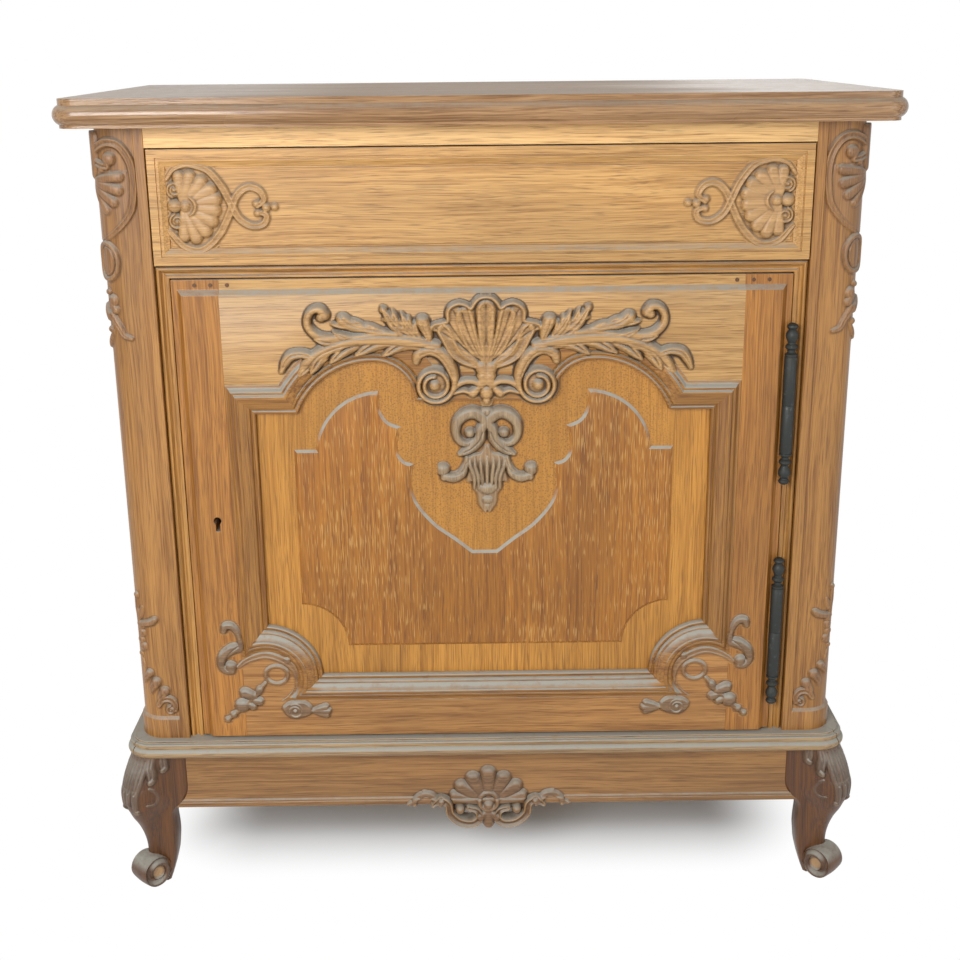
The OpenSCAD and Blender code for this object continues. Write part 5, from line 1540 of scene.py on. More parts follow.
@dataclass
class Leg:
    """A cabriole leg: a skin through its stations, with a rolled toe and a carved knee on the front ones."""

    side: int
    name: str
    front: bool
    foot_h: float = 114.0
    apron_h: float = 79.0
    knee: float = 30.0
    head: float = 59.0
    toe_r: float = 22.0
    toe_half: float = 18.5

    def stations(self) -> list[tuple[float, float, float, float]]:
        """Height, reach outside the body, width inside it and corner radius, from the floor up.

        Returns:
            One row for each station.
        """
        f, a, k = self.foot_h, self.apron_h, self.knee
        return [(0, 6, 26, 11), (6, 8, 28, 13), (16, 9, 31, 14), (28, 7, 34, 13), (38, 4, 36, 12),
            (48, 3, 37, 11), (60, 4, 38, 12), (f - 43, 6, 38, 13), (f - 33, 9, 37.5, 15), (f - 23, 13, 37, 18),
            (f - 13, 18, 38, 21), (f - 3, k - 8, 43, 24), (f + 7, k - 5, 52, 26), (f + 17, k - 4, 57, 27),
            (f + 27, k - 4, self.head, 28), (f + a * 0.47, k - 6, self.head, 28),
            (f + a * 0.72, k - 11, self.head, 26), (f + a, 12, self.head, 24)]

    def sag(self, reach: np.ndarray, past: np.ndarray, length: np.ndarray) -> np.ndarray:
        """How far the skin falls back from the corner's bulge to the apron's face, beside the corner.

        Args:
            reach: Reach of the corner.
            past: Distance past the end of the corner's arc.
            length: Whole length from the arc to the inner edge.

        Returns:
            The distance by which it falls back.
        """
        t = np.clip(past / (length * 0.8), 0, 1)
        return (reach - 0.5) * t * t * (3 - 2 * t)

    def station(self, z: float) -> tuple[float, float, float]:
        """Reach, inner width and corner radius at a height.

        Args:
            z: The height.

        Returns:
            Reach, inner width and radius.
        """
        table = np.array(self.stations(), float)
        i = int(np.clip(np.searchsorted(table[:, 0], z) - 1, 0, len(table) - 2))
        a, b, c, d = (table[int(np.clip(i + k, 0, len(table) - 1))] for k in (-1, 0, 1, 2))
        got = between(a, b, c, d, (z - b[0]) / (c[0] - b[0]))
        return min(got[1], self.knee + 2), min(got[2], self.head), got[3]

    def ring(self, z: float) -> list[tuple[float, float, float]]:
        """Outline of the leg at one height.

        Args:
            z: The height.

        Returns:
            Its points.
        """
        s = SIZE
        reach, inner, r = self.station(z)
        q = 4.0
        if self.front:
            along = np.linspace(0, inner - q + reach - r, 9)[1:]
            fall = self.sag(reach, along, along[-1])
            bend = [(reach - r + r * math.cos(a), r - reach + r * math.sin(a)) for a in
                np.linspace(-math.pi / 2, 0, 12)]
            face = [(reach - r - d, f - reach) for d, f in zip(along, fall)]
            points = bend + [(-y, -x) for x, y in face] + [(q - inner, inner - 0.5), (0.5 - inner, inner - q)] + [
                (0.5 - inner, face[-1][1] + q)] + face[::-1]
            return [(self.side * (s.half_w + x), s.front + y, z) for x, y in points]
        points = []
        for cx, cy, radius, start in ((reach - 6, 6 - inner, 6, -90), (reach - q, -q, q, 0),
                                      (q - inner, -q, q, 90), (q - inner, q - inner, q, 180)):
            points += arc((cx, cy), radius, math.radians(start), math.radians(start + 90), 5)
        return [(self.side * (s.half_w + x), s.back + y, z) for x, y in points]

    def build(self) -> None:
        """Builds the leg, and for a front one its toe and its knee leaf."""
        place = f"{'front' if self.front else 'back'}_leg_{self.name}"
        rings = np.array([self.ring(z) for z in np.linspace(0, self.foot_h + self.apron_h, 66)])
        leg = Piece(place.replace("leg", "cabriole"), "carcass", "oak_base", LEG)
        leg.tube(rings, flip=self.side < 0).make(place, smooth=50.0)
        if self.front:
            self.build_toe()
            self.build_knee()

    def build_toe(self) -> None:
        """Builds the rolled scroll of the toe, with a spiral cut in both of its ends."""
        s = SIZE
        radius, half = self.toe_r, self.toe_half
        centre = np.array([s.half_w - 1.5, s.front - 3.0, radius])
        out = np.array([1, -1, 0]) / math.sqrt(2)
        axis = np.array([-1, -1, 0]) / math.sqrt(2)
        up = np.array([0, 0, 1.0])
        turns = np.linspace(0, 2 * math.pi, 73)[:-1]
        rings = []
        # Shares of the radius: the eye in the middle of each end, and the edge where the rolled band begins
        middle, edge = 0.42, 0.93
        swell = np.sin(np.linspace(0.25, math.pi - 0.25, 12))
        reach = np.concatenate([np.linspace(0.02, edge, 24), edge + 0.07 * swell, np.linspace(edge, 0.02, 24)])
        depth = np.concatenate([np.full(24, -half), np.linspace(-half + 1.5, half - 1.5, 12), np.full(24, half)])
        for k, d in zip(reach, depth):
            ring = []
            for t in turns:
                wave = 0.5 + 0.5 * math.cos(2 * math.pi * (k * 1.5 - t / (2 * math.pi)))
                sink = 5.0 * wave if middle < k < 0.95 else -4.0 * math.sqrt(max(0.0, 1 - (k / middle) ** 2))
                along = d - math.copysign(sink, d) if abs(d) == half else d
                ring.append(centre + radius * k * (math.cos(t) * out + math.sin(t) * up) + along * axis)
            rings.append(ring)
        points = np.array(rings)
        points[..., 0] *= self.side
        marks = np.repeat(np.where(np.abs(depth) == half, 0.35, 0.1), len(turns))
        eye = np.repeat(np.clip((middle - reach) * 5, 0, 0.7), len(turns))
        Piece(f"toe_scroll_{self.name}", "carcass", "oak_base", LEG).tube(
            points, flip=self.side > 0, stain=marks, worn=eye).make(smooth=60.0)

    def skin(self, u: np.ndarray, v: np.ndarray, h: np.ndarray) -> np.ndarray:
        """Puts a point on the knee: u runs from the outer corner, positive to the front face, v up.

        Args:
            u: Distance from the outer corner.
            v: Height.
            h: Height above the skin.

        Returns:
            The places in the cabinet's frame.
        """
        s = SIZE
        rows = np.array([self.station(z) for z in v[:, 0]])
        reach, r = rows[:, 0][:, None], rows[:, 2][:, None]
        bend = np.clip(u / r, -math.pi / 4, math.pi / 4)
        past = u - bend * r
        turn = -math.pi / 4 - bend
        fall = self.sag(reach, np.abs(past), rows[:, 1][:, None] - 4 + reach - r)
        x = reach - r + (r + h) * np.cos(turn) - np.maximum(past, 0) - fall * (past < 0)
        y = r - reach + (r + h) * np.sin(turn) - np.minimum(past, 0) + fall * (past > 0)
        return np.stack([self.side * (s.half_w + x), s.front + y, v + 0 * u], -1)

    def build_knee(self) -> None:
        """Carves the acanthus leaf that hangs over the knee."""
        relief = Relief((-56, 104), (56, 194))
        for sign in (-1, 1):
            for x0, x1, low, w in ((5, 3, 128, 6.5), (16, 12, 117, 6.5)):
                relief.stroke([(sign * x0, 194), (sign * x0, 168), (sign * (x1 + 1), 144), (sign * x1, low)],
                    (w, w, w * 0.8, 3.5), (2.5, 4, 4.5, 3.5))
                relief.groove([(sign * x0, 190), (sign * x0, 168), (sign * (x1 + 1), 146)], 0.9, 1.6)
            relief.ball((sign * 13, 119), 4.6, 5)
            relief.stroke([(sign * 23, 194), (sign * 25, 180), (sign * 30, 170), (sign * 32, 163)], (5.5, 6, 6, 5),
                (2.5, 4.5, 5.5, 5.5), Cut.VEINED).ball((sign * 32, 162), 5.5, 7)
            relief.stroke([(sign * 37, 194), (sign * 40, 184), (sign * 44, 176)], (5.5, 6, 5),
                (2.5, 4.5, 5.5), Cut.VEINED)
            relief.ball((sign * 44, 174), 5.5, 6.5)
            relief.stroke([(sign * 30, 152), (sign * 38, 146), (sign * 42, 136), (sign * 37, 127),
                (sign * 28, 128)], (1.4, 1.8, 1.8, 1.8, 1.4), 1.6)
        relief.piece(f"knee_leaf_{self.name}", "carcass", "oak_base", LEG, self.skin, flip=self.side < 0)


@dataclass
class Drawer:
    """The drawer: its moulded front with a shell at each end, and its dovetailed box."""

    half: float = 390.5
    face: float = -226.0
    back: float = -204.0
    border: float = 12.0
    slope: float = 9.0
    sink: float = 5.0

    def build(self) -> None:
        """Builds the front, its two shells and the boards of the box."""
        s = SIZE
        y = self.face
        loop = [(-self.half, s.z_drawer), (self.half, s.z_drawer), (self.half, s.z_drawer_top),
            (-self.half, s.z_drawer_top)]
        b, foot = self.border, self.border + self.slope
        steps = [(0, self.back), (0, y + 0.7), (0.25, y + 0.2), (0.8, y), (b - 2.4, y), (b - 2.0, y + 1.8),
            (b - 0.6, y + 1.8), (b - 0.2, y + 0.1), (b + 1.6, y + 0.1), (b + self.slope * 0.5, y + self.sink * 0.5),
            (foot - 1.0, y + self.sink - 0.9), (foot - 0.4, y + self.sink + 1.8), (foot + 1.2, y + self.sink + 1.8),
            (foot + 2.0, y + self.sink)]
        stepped_plate(Piece("drawer_face", "drawer", "oak_straw", STRAW), loop, steps).make(
            "drawer_front", smooth=18.0)
        for side, name in SIDES:
            relief = Relief((236, 850), (386, 964))
            self.carve(relief)
            relief.piece(f"drawer_shell_{name}", "drawer", "oak_straw", STRAW, flat_at(y + self.sink, side),
                flip=side < 0)
        for node, finish in (("drawer_side_left", INSIDE_DEPTH), ("drawer_side_right", INSIDE_DEPTH),
                             ("drawer_back", INSIDE), ("drawer_bottom", INSIDE)):
            eased_board(node, "drawer", finish, 0.5)

    def carve(self, relief: Relief) -> None:
        """Carves one shell with its looped scroll, with distances measured from the middle.

        Args:
            relief: Takes the carving.
        """
        for across, up, width in ((352, 868, 7.5), (336, 866, 8), (322, 875, 8.8), (312, 889, 9), (307, 904, 9),
                (306, 919, 9), (312, 933, 8.8), (324, 944, 8.8), (340, 951, 8), (355, 951, 7.5)):
            relief.lobe((352, 910), (across, up), width, 6.5)
        relief.volute((360, 929), 10.5, -70, 1.3, 7.5, hand=1).volute((359, 892), 10.5, 70, 1.3, 7.5, hand=-1)
        relief.ball((361, 910), 8.5, 8, upright=0.9).ball((348, 910), 7.5, 9.5)
        relief.stroke([(343, 921), (338, 916), (336, 910), (338, 904), (343, 899)], (1.5, 2.4, 3, 2.4, 1.5), 9)
        first = [(369, 941), (360, 952), (346, 957), (331, 955), (318, 949), (304, 931), (295, 912), (286, 895),
            (272, 886), (258, 888), (254, 898), (263, 902)]
        second = [(369, 880), (352, 862), (331, 859), (311, 876), (298, 899), (288, 921), (275, 931), (262, 928),
            (256, 917), (264, 909)]
        relief.stroke(first, (1.8, 2.2, 2.6, 3.4, 4, 4.4, 4.4, 4.4, 4.2, 4, 3.4, 2.6), 5, Cut.HOLLOW)
        relief.stroke(second, (3, 4, 4.2, 4.4, 4.4, 4.4, 4.4, 4.2, 3.4, 2.6), 4.5, Cut.HOLLOW)
        relief.ball((264, 901), 4.2, 6).ball((265, 912), 4.2, 6).ball((254, 907), 5, 5.5).ball((244, 908), 4.4, 5)


@dataclass
class Door:
    """The door: its frame, the moulding round its opening, the raised panel and their carving."""

    ease: float = 0.7
    field_half: float = 235.5
    field_low: float = 345.0
    field_top: float = 610.0
    field_out: float = 3.0
    scoop: float = 58.0
    carving_x: float = 4.0
    crest_half: float = 266.0
    pendant_half: float = 62.0
    lip: float = 12.0
    lip_slope: float = 5.6
    peg_x: tuple = (-345, -326, -306, 306, 326, 345)
    peg_z: float = 816.0
    peg_r: float = 2.6
    peg_long: float = 1.6

    # Section of the moulding: distance from the panel, and height in front of the door's face
    PROFILE = ((0, -6.5), (0, 0.4), (0.5, 1.5), (1.6, 2.1), (2.8, 2.1), (3.8, 1.4), (4.2, 0.0), (5.6, 0.0),
        (6.0, 1.4), (7.2, 3.0), (9.0, 3.8), (10.0, 3.9), (10.2, 4.8), (13, 6.4), (16, 7.6), (19.0, 8.4),
        (19.4, 9.2), (20.4, 9.8), (22, 10.0), (23.4, 9.6), (24.4, 8.6), (24.8, 7.3), (25.6, 6.7), (26.6, 7.1),
        (28, 7.0), (29.2, 6.1), (30.2, 4.6), (31.0, 2.8), (32.0, 1.6), (33.4, 1.0), (35.4, 0.8), (36, 0.0))

    def build(self, pegs: Grower) -> None:
        """Builds the whole door.

        Args:
            pegs: The tree that sets pegs.
        """
        for side in ("left", "right"):
            eased_board(f"door_stile_{side}", "door", STILE, self.ease)
        self.build_rails()
        self.build_mouldings()
        self.build_panel()
        self.build_pegs(pegs)

    def build_rails(self) -> None:
        """Builds the top rail under the crest and the bottom rail with its carved corners."""
        s = SIZE
        edge = high_edge(s.mould_w)
        xs = np.array([p[0] for p in edge])[::-1]
        zs = np.array([p[1] for p in edge])[::-1]
        across = np.unique(np.concatenate([np.linspace(-s.stile_in, s.stile_in, 161), xs, -xs]))
        foot = s.z_door_top - self.lip - self.lip_slope
        rings = []
        for x in across:
            low = np.interp(abs(x), xs, zs)
            rings.append([(x, s.lip_y, s.z_door_top), (x, s.lip_y, s.z_door_top - self.lip),
                (x, s.door_y + 0.5, foot), (x, s.door_y, foot - 0.6), (x, s.door_y, low),
                (x, s.door_back, low), (x, s.door_back, s.z_door_top)])
        Piece("door_rail_top", "door", "oak_straw", STRAW_RAIL).tube(rings).make("door_top_rail")
        crest = Relief((self.carving_x - self.crest_half, 664), (self.carving_x + self.crest_half, 804), 0.9)
        self.carve_crest(crest)
        crest.piece("crest_carving", "door", "oak_straw", STRAW_RAIL, flat_at(s.door_y), depth=1.2)
        loop = [(-s.stile_in, s.z_door), (s.stile_in, s.z_door)] + both_halves(low_edge(s.mould_w)[:-1])[::-1]
        stepped_plate(Piece("door_rail_bottom", "door", "oak_frame", LOW_RAIL), loop,
            [(0, s.door_back), (0, s.door_y + 0.5), (0.5, s.door_y)]).make("door_bottom_rail")
        for side, name in SIDES:
            relief = Relief((198, 232), (352, 390))
            self.carve_corner(relief)
            relief.piece(f"corner_carving_{name}", "door", "oak_frame", LOW_RAIL, flat_at(s.door_y, side),
                flip=side < 0, depth=1.0)

    def build_mouldings(self) -> None:
        """Builds the four lengths of the moulding, mitred at the shoulders and above the scoops."""
        s = SIZE

        def upright(e: float, side: int) -> Line:
            """One side's edge at distance e from the panel, counter-clockwise."""
            ends = [(side * (s.opening_half + e), s.mitre_z - e), (side * (s.opening_half + e), s.z_shoulder + e)]
            return ends if side > 0 else ends[::-1]

        for name, edge, finish in (("bottom", lambda e: both_halves(low_edge(e)), MOULDING),
                ("right", lambda e: upright(e, 1), MOULDING_UP), ("top", whole_high_edge, MOULDING),
                ("left", lambda e: upright(e, -1), MOULDING_UP)):
            lines = [np.array(edge(e)) for e, _ in self.PROFILE]
            rings = []
            for k in range(len(lines[0])):
                ring = []
                for line, (e, out) in zip(lines, self.PROFILE):
                    x, z = line[k]
                    if name == "top":
                        out = self.under_carving(abs(x), e, out)
                    ring.append((x, s.door_y - out, z))
                for x, z in (lines[-1][k], lines[0][k]):
                    ring.append((x, s.door_back, z))
                rings.append(ring)
            Piece(f"moulding_{name}", "door", "oak_moulding", finish).tube(rings).make(
                f"door_moulding_{name}", smooth=28.0)

    def under_carving(self, x: float, e: float, out: float) -> float:
        """Lowers the moulding's outer part over the arches, and all of it under the middle of the crest.

        Args:
            x: Distance from the middle.
            e: Distance from the panel.
            out: Height of the section there.

        Returns:
            The height that is left.
        """
        over_arch = float(np.clip((232 - x) / 24, 0, 1))
        if e > 9.5:
            out += (min(out, -0.8 if e < 10.5 else 1.0) - out) * over_arch
        middle = float(np.clip((x - 46) / 10, 0, 1))
        return out * middle - 0.4 * (1 - middle)

    def field_loop(self) -> Line:
        """Outline of the raised field: scooped low corners, two arches and a dip with notches between them.

        Returns:
            Its points, counter-clockwise from the middle of the low edge.
        """
        right = [(0.0, self.field_low)]
        right += arc((self.field_half, self.field_low), self.scoop, math.pi, math.pi / 2, 24)
        right += [(self.field_half, self.field_top), (208.5, self.field_top)]
        right += arc((127, 602), 82, 0.12, math.pi / 2 - 0.02, 24)
        for run in (((128, 682), (127.5, 662), (119, 646), (102, 638)), ((103, 636), (107, 618), (106, 604),
                (99, 594), (87, 590)), ((88, 588), (91, 568), (88, 550), (80, 533), (60, 510), (36, 492),
                (15, 475))):
            right += [tuple(p) for p in smooth_path(run)[0][::3]] + [run[-1]]
        right = [p for p, q in zip(right, right[1:] + [(9e9, 0)]) if math.dist(p, q) > 0.4]
        return right + [(-x, z) for x, z in right[:0:-1]]

    def build_panel(self) -> None:
        """Builds the ground of the panel, its raised field and the pendant."""
        s = SIZE
        y = s.panel_y
        stepped_plate(Piece("panel_ground", "door", "oak_panel", GROUND), opening_loop(-0.3),
            [(0, y + 14), (0, y)]).make("door_panel")
        out = self.field_out
        stepped_plate(Piece("panel_field", "door", "oak_panel", FIELD), self.field_loop(),
            [(0, y + 1), (0, y - 0.4), (0.4, y - 0.6), (3.6, y - out + 0.1), (4.2, y - out)]).make(smooth=25.0)
        relief = Relief((self.carving_x - self.pendant_half, 526), (self.carving_x + self.pendant_half, 668))
        self.carve_pendant(relief)
        relief.piece("pendant_carving", "door", "oak_panel", GROUND, flat_at(y), depth=0.8)

    def build_pegs(self, trees: Grower) -> None:
        """Sets the pegs of the frame's joints in the lip above the face.

        Args:
            trees: The tree that sets pegs.
        """
        places = [(x, SIZE.lip_y - 0.1, self.peg_z) for x in self.peg_x]
        start = line_mesh("pegs", np.array(places), edges=False)
        mesh = grown("frame_pegs", start, trees, {"Radius": self.peg_r * MM, "Length": self.peg_long * MM,
            "Seed": 4, "Finish": LEG.material()})
        finish_object("frame_pegs", mesh, "door", LEG)

    def carve_crest(self, relief: Relief) -> None:
        """Carves the left half of the crest, a shell between two branches on big volutes, and mirrors it.

        Args:
            relief: Takes the carving.
        """
        rim = [(-63, 760), (-59, 767), (-47, 770), (-42, 772), (-42, 782), (-38, 789), (-29, 793), (-20, 791),
            (-14, 787), (-10, 793), (-4, 799), (4, 801)]
        relief.patch(rim + [(12, 799), (12, 716), (4, 711), (-10, 714), (-20, 723), (-28, 736), (-38, 749),
            (-50, 756)], 4.5, 2.5)
        for tip, width, bow in (((4, 797), 12, 0.0), ((-26, 788), 12, 0.05), ((-53, 766), 9, 0.15)):
            relief.lobe((2, 712), tip, width, 8.5, bow, Cut.HOLLOW)
        for end, bend in (((4, 797), (4, 750)), ((-3, 795), (0, 750)), ((-10, 789), (-5, 750)),
                ((-19, 789), (-10, 750)), ((-27, 788), (-14, 748)), ((-35, 784), (-18, 745)),
                ((-42, 771), (-22, 742)), ((-49, 767), (-26, 741)), ((-57, 763), (-31, 745))):
            relief.groove([(2, 716), bend, end], 0.8, 2.3)
        relief.stroke(rim, (1.6, 2.3, 2.6, 2.6, 2.8, 2.8, 2.8, 2.8, 2.8, 2.8), (7, 9, 10, 10.5, 10.5))
        relief.stroke([(-2, 714), (1, 703), (0, 697)], (8, 6, 8), (8, 8.5, 9)).ball((-1, 703), 7, 9.5)
        relief.volute((-59, 693), 26, 0, 1.75, 12, hand=-1, eye=0.3)
        relief.stroke([(-81, 722), (-78, 731), (-65, 737), (-50, 731), (-40, 717), (-35, 701), (-36, 688)],
            (5, 7, 8, 8.5, 8, 6, 4), (9, 11, 12.5, 12.5, 12, 11, 10))
        for line in ([(-70, 724), (-58, 727), (-48, 716), (-43, 700)],
                     [(-76, 731), (-60, 734), (-46, 722), (-38, 704)]):
            relief.groove(line, 1.2, 2.4)
        self.carve_branch(relief)
        relief.stroke([(-37, 687), (-26, 696), (-12, 697), (-2, 691)], (3.5, 4.5, 4.5, 4), (8, 8.5, 8.5, 8))
        relief.stroke([(-36, 682), (-24, 685), (-14, 681)], (2.5, 3, 3), 6.5)
        relief.lobe((-2, 692), (-17, 678), 6, 8).ball((4, 683), 8.5, 9.5, upright=1.15).ball((4, 672), 5, 7)
        relief.mirrored()

    def carve_branch(self, relief: Relief) -> None:
        """Carves the left branch: a leafy stem over the arch and two curled shoots above it.

        Args:
            relief: Takes the carving.
        """
        relief.stroke([(-56, 741), (-80, 745), (-110, 749), (-140, 750), (-168, 746), (-194, 735), (-212, 722),
            (-224, 707)], (7, 10, 10.5, 10, 9, 8.5, 8, 4), (10, 11, 11.5, 11.5, 11.5, 11, 10, 6.5))
        for base, tip, width, bow in (((-76, 742), (-121, 730), 8.5, -0.14), ((-100, 746), (-154, 731), 9.5, -0.12),
                ((-138, 747), (-185, 722), 9.5, -0.12), ((-180, 739), (-209, 709), 8.5, -0.1),
                ((-166, 748), (-203, 751), 7, 0.05), ((-128, 752), (-180, 759), 7, 0.1)):
            relief.leaflet(base, tip, width, 12.2, bow)
        relief.stroke([(-204, 728), (-218, 733), (-232, 731), (-240, 722), (-245, 711)], (5, 6, 6.5, 5.5, 2.5),
            (10, 11, 11, 10, 8), Cut.VEINED)
        relief.leaflet((-208, 722), (-223, 706), 6, 10.5)
        for line in ([(-58, 738), (-90, 742), (-130, 745), (-165, 740), (-196, 724)],
                     [(-62, 746), (-95, 753), (-130, 755), (-164, 751), (-192, 742)],
                     [(-70, 752), (-98, 758), (-124, 759)], [(-150, 745), (-176, 741), (-200, 730), (-216, 712)]):
            relief.groove(line, 1.1, 2.2)
        relief.stroke([(-172, 752), (-190, 752), (-202, 757), (-210, 767), (-210, 778), (-204, 786), (-195, 787),
            (-190, 780)], (6, 6.5, 6, 5.5, 5, 5, 6, 6.5), (9, 9.5, 10, 10, 10, 10.5, 11, 11))
        relief.ball((-194, 778), 6, 11)
        relief.groove([(-176, 757), (-194, 760), (-205, 769), (-206, 776)], 1.3, 2.4)
        relief.stroke([(-104, 756), (-124, 759), (-142, 763), (-156, 766), (-168, 774)], (4, 5, 5.5, 7, 8.5),
            (9.5, 9.5, 9.5, 10, 10.5))
        relief.groove([(-120, 760), (-148, 765), (-162, 771), (-170, 780)], 1.2, 2.4).ball((-169, 776), 4, 9)
        relief.leaflet((-138, 762), (-158, 775), 4.5, 9).leaflet((-118, 757), (-141, 769), 4.5, 9)
        relief.leaflet((-152, 765), (-182, 769), 5, 9.5)
        relief.leaf((-76, 746), (-121, 789), 8.5, 11, 0.1).ball((-119, 786), 4.5, 9)
        relief.leaf((-70, 746), (-98, 782), 6.5, 10.5, 0.08)
        relief.lobe((-64, 744), (-75, 779), 8.5, 11, -0.05).groove([(-66, 750), (-71, 762), (-74, 772)], 1.1, 2.0)

    def carve_corner(self, relief: Relief) -> None:
        """Carves one low corner, with distances measured from the middle.

        Args:
            relief: Takes the carving.
        """
        relief.stroke([(337, 370), (334, 377), (327, 377), (321, 370), (317, 359), (317, 347), (327, 345),
            (339, 336), (343, 323), (337, 314), (329, 314)], (4, 5, 5, 4, 3.4, 5.5, 7.5, 6.5, 5, 4.2, 4),
            (5, 6, 6, 5, 4.5, 5.5, 6.5, 6, 5.5, 5.5, 6))
        relief.ball((331, 320), 7.5, 6.5).groove([(320, 349), (330, 341), (337, 330)], 1.1, 1.8)
        relief.stroke([(321, 319), (311, 327), (300, 332), (285, 335), (268, 330), (254, 321), (246, 308),
            (244, 291), (250, 274)], (2, 3.5, 4.4, 4.6, 4.6, 4.6, 4.6, 4.2, 3), 2.6, Cut.HOLLOW)
        relief.ring((272, 307), 14.5, 12.5, 2.6, 2.8).ball((257, 328), 5, 4.2)
        relief.stroke([(236, 318), (234, 304), (234, 290), (240, 279)], (2, 2.6, 3, 3), 2.4)
        relief.stroke([(287, 296), (292, 290), (300, 280), (318, 262), (331, 251), (340, 243)],
            (2, 2.5, 3.4, 3.4, 3, 2), 3.6)
        relief.lobe((300, 276), (321, 285), 7.5, 6.5).lobe((300, 278), (292, 291), 5, 5)
        relief.lobe((306, 272), (291, 268), 6, 5.5).lobe((312, 268), (301, 259), 5.5, 5.5)
        relief.ball((319, 264), 9.5, 7).ball((331, 251), 4.6, 5).ball((339, 244), 4.2, 4.5)
        relief.patch([(267, 258), (258, 268), (240, 270), (229, 262), (229, 252), (240, 246), (256, 245)], 4.5, 3.5)
        relief.volute((250, 256), 12, 60, 1.3, 6.5, hand=1, eye=0.32)
        relief.lobe((230, 255), (206, 262), 4.5, 5).lobe((230, 255), (205, 248), 4.5, 5)
        relief.lobe((232, 255), (203, 255), 4.5, 5.5)

    def carve_pendant(self, relief: Relief) -> None:
        """Carves the left half of the pendant and mirrors it.

        Args:
            relief: Takes the carving.
        """
        relief.patch([(4, 610), (-4, 604), (-16, 601), (-19, 590), (-20, 578), (-22, 566), (-14, 566), (-13, 556),
            (-9, 550), (-8, 540), (-5, 533), (4, 530)], 3.5, 2.5)
        relief.stroke([(4, 641), (-3, 651), (-13, 656), (-25, 652), (-33, 642), (-34, 629), (-29, 619), (-20, 616),
            (-12, 621)], (6.5, 8, 8.5, 8, 6.5, 5.5, 5, 4.5, 3.5), (8.5, 9.5, 10, 9.5, 9, 8, 7.5, 7, 6.5))
        relief.ball((-17, 630), 6.5, 9.5)
        relief.stroke([(3, 645), (-3, 634), (-5, 624), (-12, 614), (-21, 607), (-30, 602)], (6, 7, 8, 7.5, 6, 2.5),
            (9, 9.5, 9.5, 9, 8, 6)).groove([(-1, 632), (-6, 620), (-16, 610), (-25, 605)], 1.1, 2.2)
        relief.ball((4, 657), 9, 8, upright=0.8)
        for x0, x1 in ((4, 4), (-2, -4), (-7, -11), (-12, -17)):
            relief.stroke([(x0, 558), (x0, 572), (x1, 588), (x1, 599)], (2, 3.2, 3.4, 1.8), (6, 7.5, 7, 4))
        relief.ball((4, 558), 13, 8.5, upright=0.65).ball((4, 543), 8.5, 7, upright=0.7).ball((4, 534), 6, 5)
        relief.stroke([(-21, 598), (-23, 587), (-28, 577), (-38, 572), (-49, 574)], (3, 4.5, 6, 6.5, 5.5),
            (6, 7.5, 8.5, 8.5, 8)).groove([(-22, 592), (-27, 581), (-37, 577)], 1.1, 2.2)
        relief.ball((-51, 583), 8.5, 9).lobe((-34, 577), (-54, 571), 4.5, 8)
        relief.mirrored()


@dataclass
class Hinges:
    """Two barrel hinges with turned finials; the upper halves turn with the door."""

    axis: tuple = (374.25, -230.2)
    centres: tuple = (360.0, 662.0)
    radius: float = 7.8
    length: float = 205.0
    finial: float = 42.0
    seam: float = 0.2
    sides: int = 40
    # Leaves: distance from the axis, half thickness, depths behind the axis, low ends by half, and height
    leaf_aside: float = 2.95
    leaf_half: float = 1.2
    leaf_depth: tuple = (3.9, 25.8)
    leaf_low: tuple = (-52.0, 6.2)
    leaf_high: float = 46.0

    # Height above the barrel's end and share of the radius, up to the finial's tip
    FINIAL = ((0, 0.96), (0.1, 0.88), (1.2, 0.88), (1.3, 1.0), (3.4, 1.0), (4.6, 0.72), (5.6, 0.6), (8.4, 0.6),
        (9.6, 0.8), (11, 0.95), (13, 0.98), (14.6, 0.86), (16, 0.62), (17.4, 0.6), (20, 0.76), (23, 0.93),
        (26, 1.0), (29, 0.94), (31.6, 0.74), (33.2, 0.58), (34.2, 0.62), (35.4, 0.8), (37, 0.9), (38.8, 0.84),
        (40.4, 0.62), (41.4, 0.36), (42, 0.06))

    def profile(self) -> Line:
        """Height above the seam and radius of one half, up to its finial's tip.

        Returns:
            Pairs of height and radius.
        """
        end = self.length / 2 - self.finial
        turned = [(0.0, 0.96), (0.6, 1.0), (end - 0.6, 1.0)] + [(end + z, k) for z, k in self.FINIAL]
        return [(z, k * self.radius) for z, k in turned]

    def build(self, trees: Grower) -> None:
        """Builds the barrels by turning, and keeps the leaves that are let into the wood.

        Args:
            trees: The tree that turns round work.
        """
        for node, body, way in (("hinge_door_leaves", "door", 1), ("hinge_post_leaves", "carcass", -1)):
            whole: Optional[Mesh] = None
            for centre in self.centres:
                line = [(*self.axis, centre + way * z + self.seam * (way > 0)) for z, _ in self.profile()]
                start = line_mesh("hinge", np.array(line))
                turning = start.attributes.new("turning", "FLOAT", "POINT")
                turning.data.foreach_set("value", [r * MM for _, r in self.profile()])
                barrel = grown("barrel", start, trees, {"Sides": self.sides, "Finish": IRON.material()})
                whole = joined(whole, barrel) if whole else barrel
                x, z = self.axis[0] - way * self.leaf_aside, centre + self.leaf_low[way > 0]
                near, far = (self.axis[1] + y for y in self.leaf_depth)
                leaf = Piece("leaf", body, "wrought_iron", IRON)
                leaf.box((x - self.leaf_half, near, z), (x + self.leaf_half, far, z + self.leaf_high), 0.3)
                whole = joined(whole, leaf.plain())
            finish_object(node.replace("leaves", "barrels"), whole, body, IRON, (node,), 30.0)
        dress("hinge_pins", STEEL)


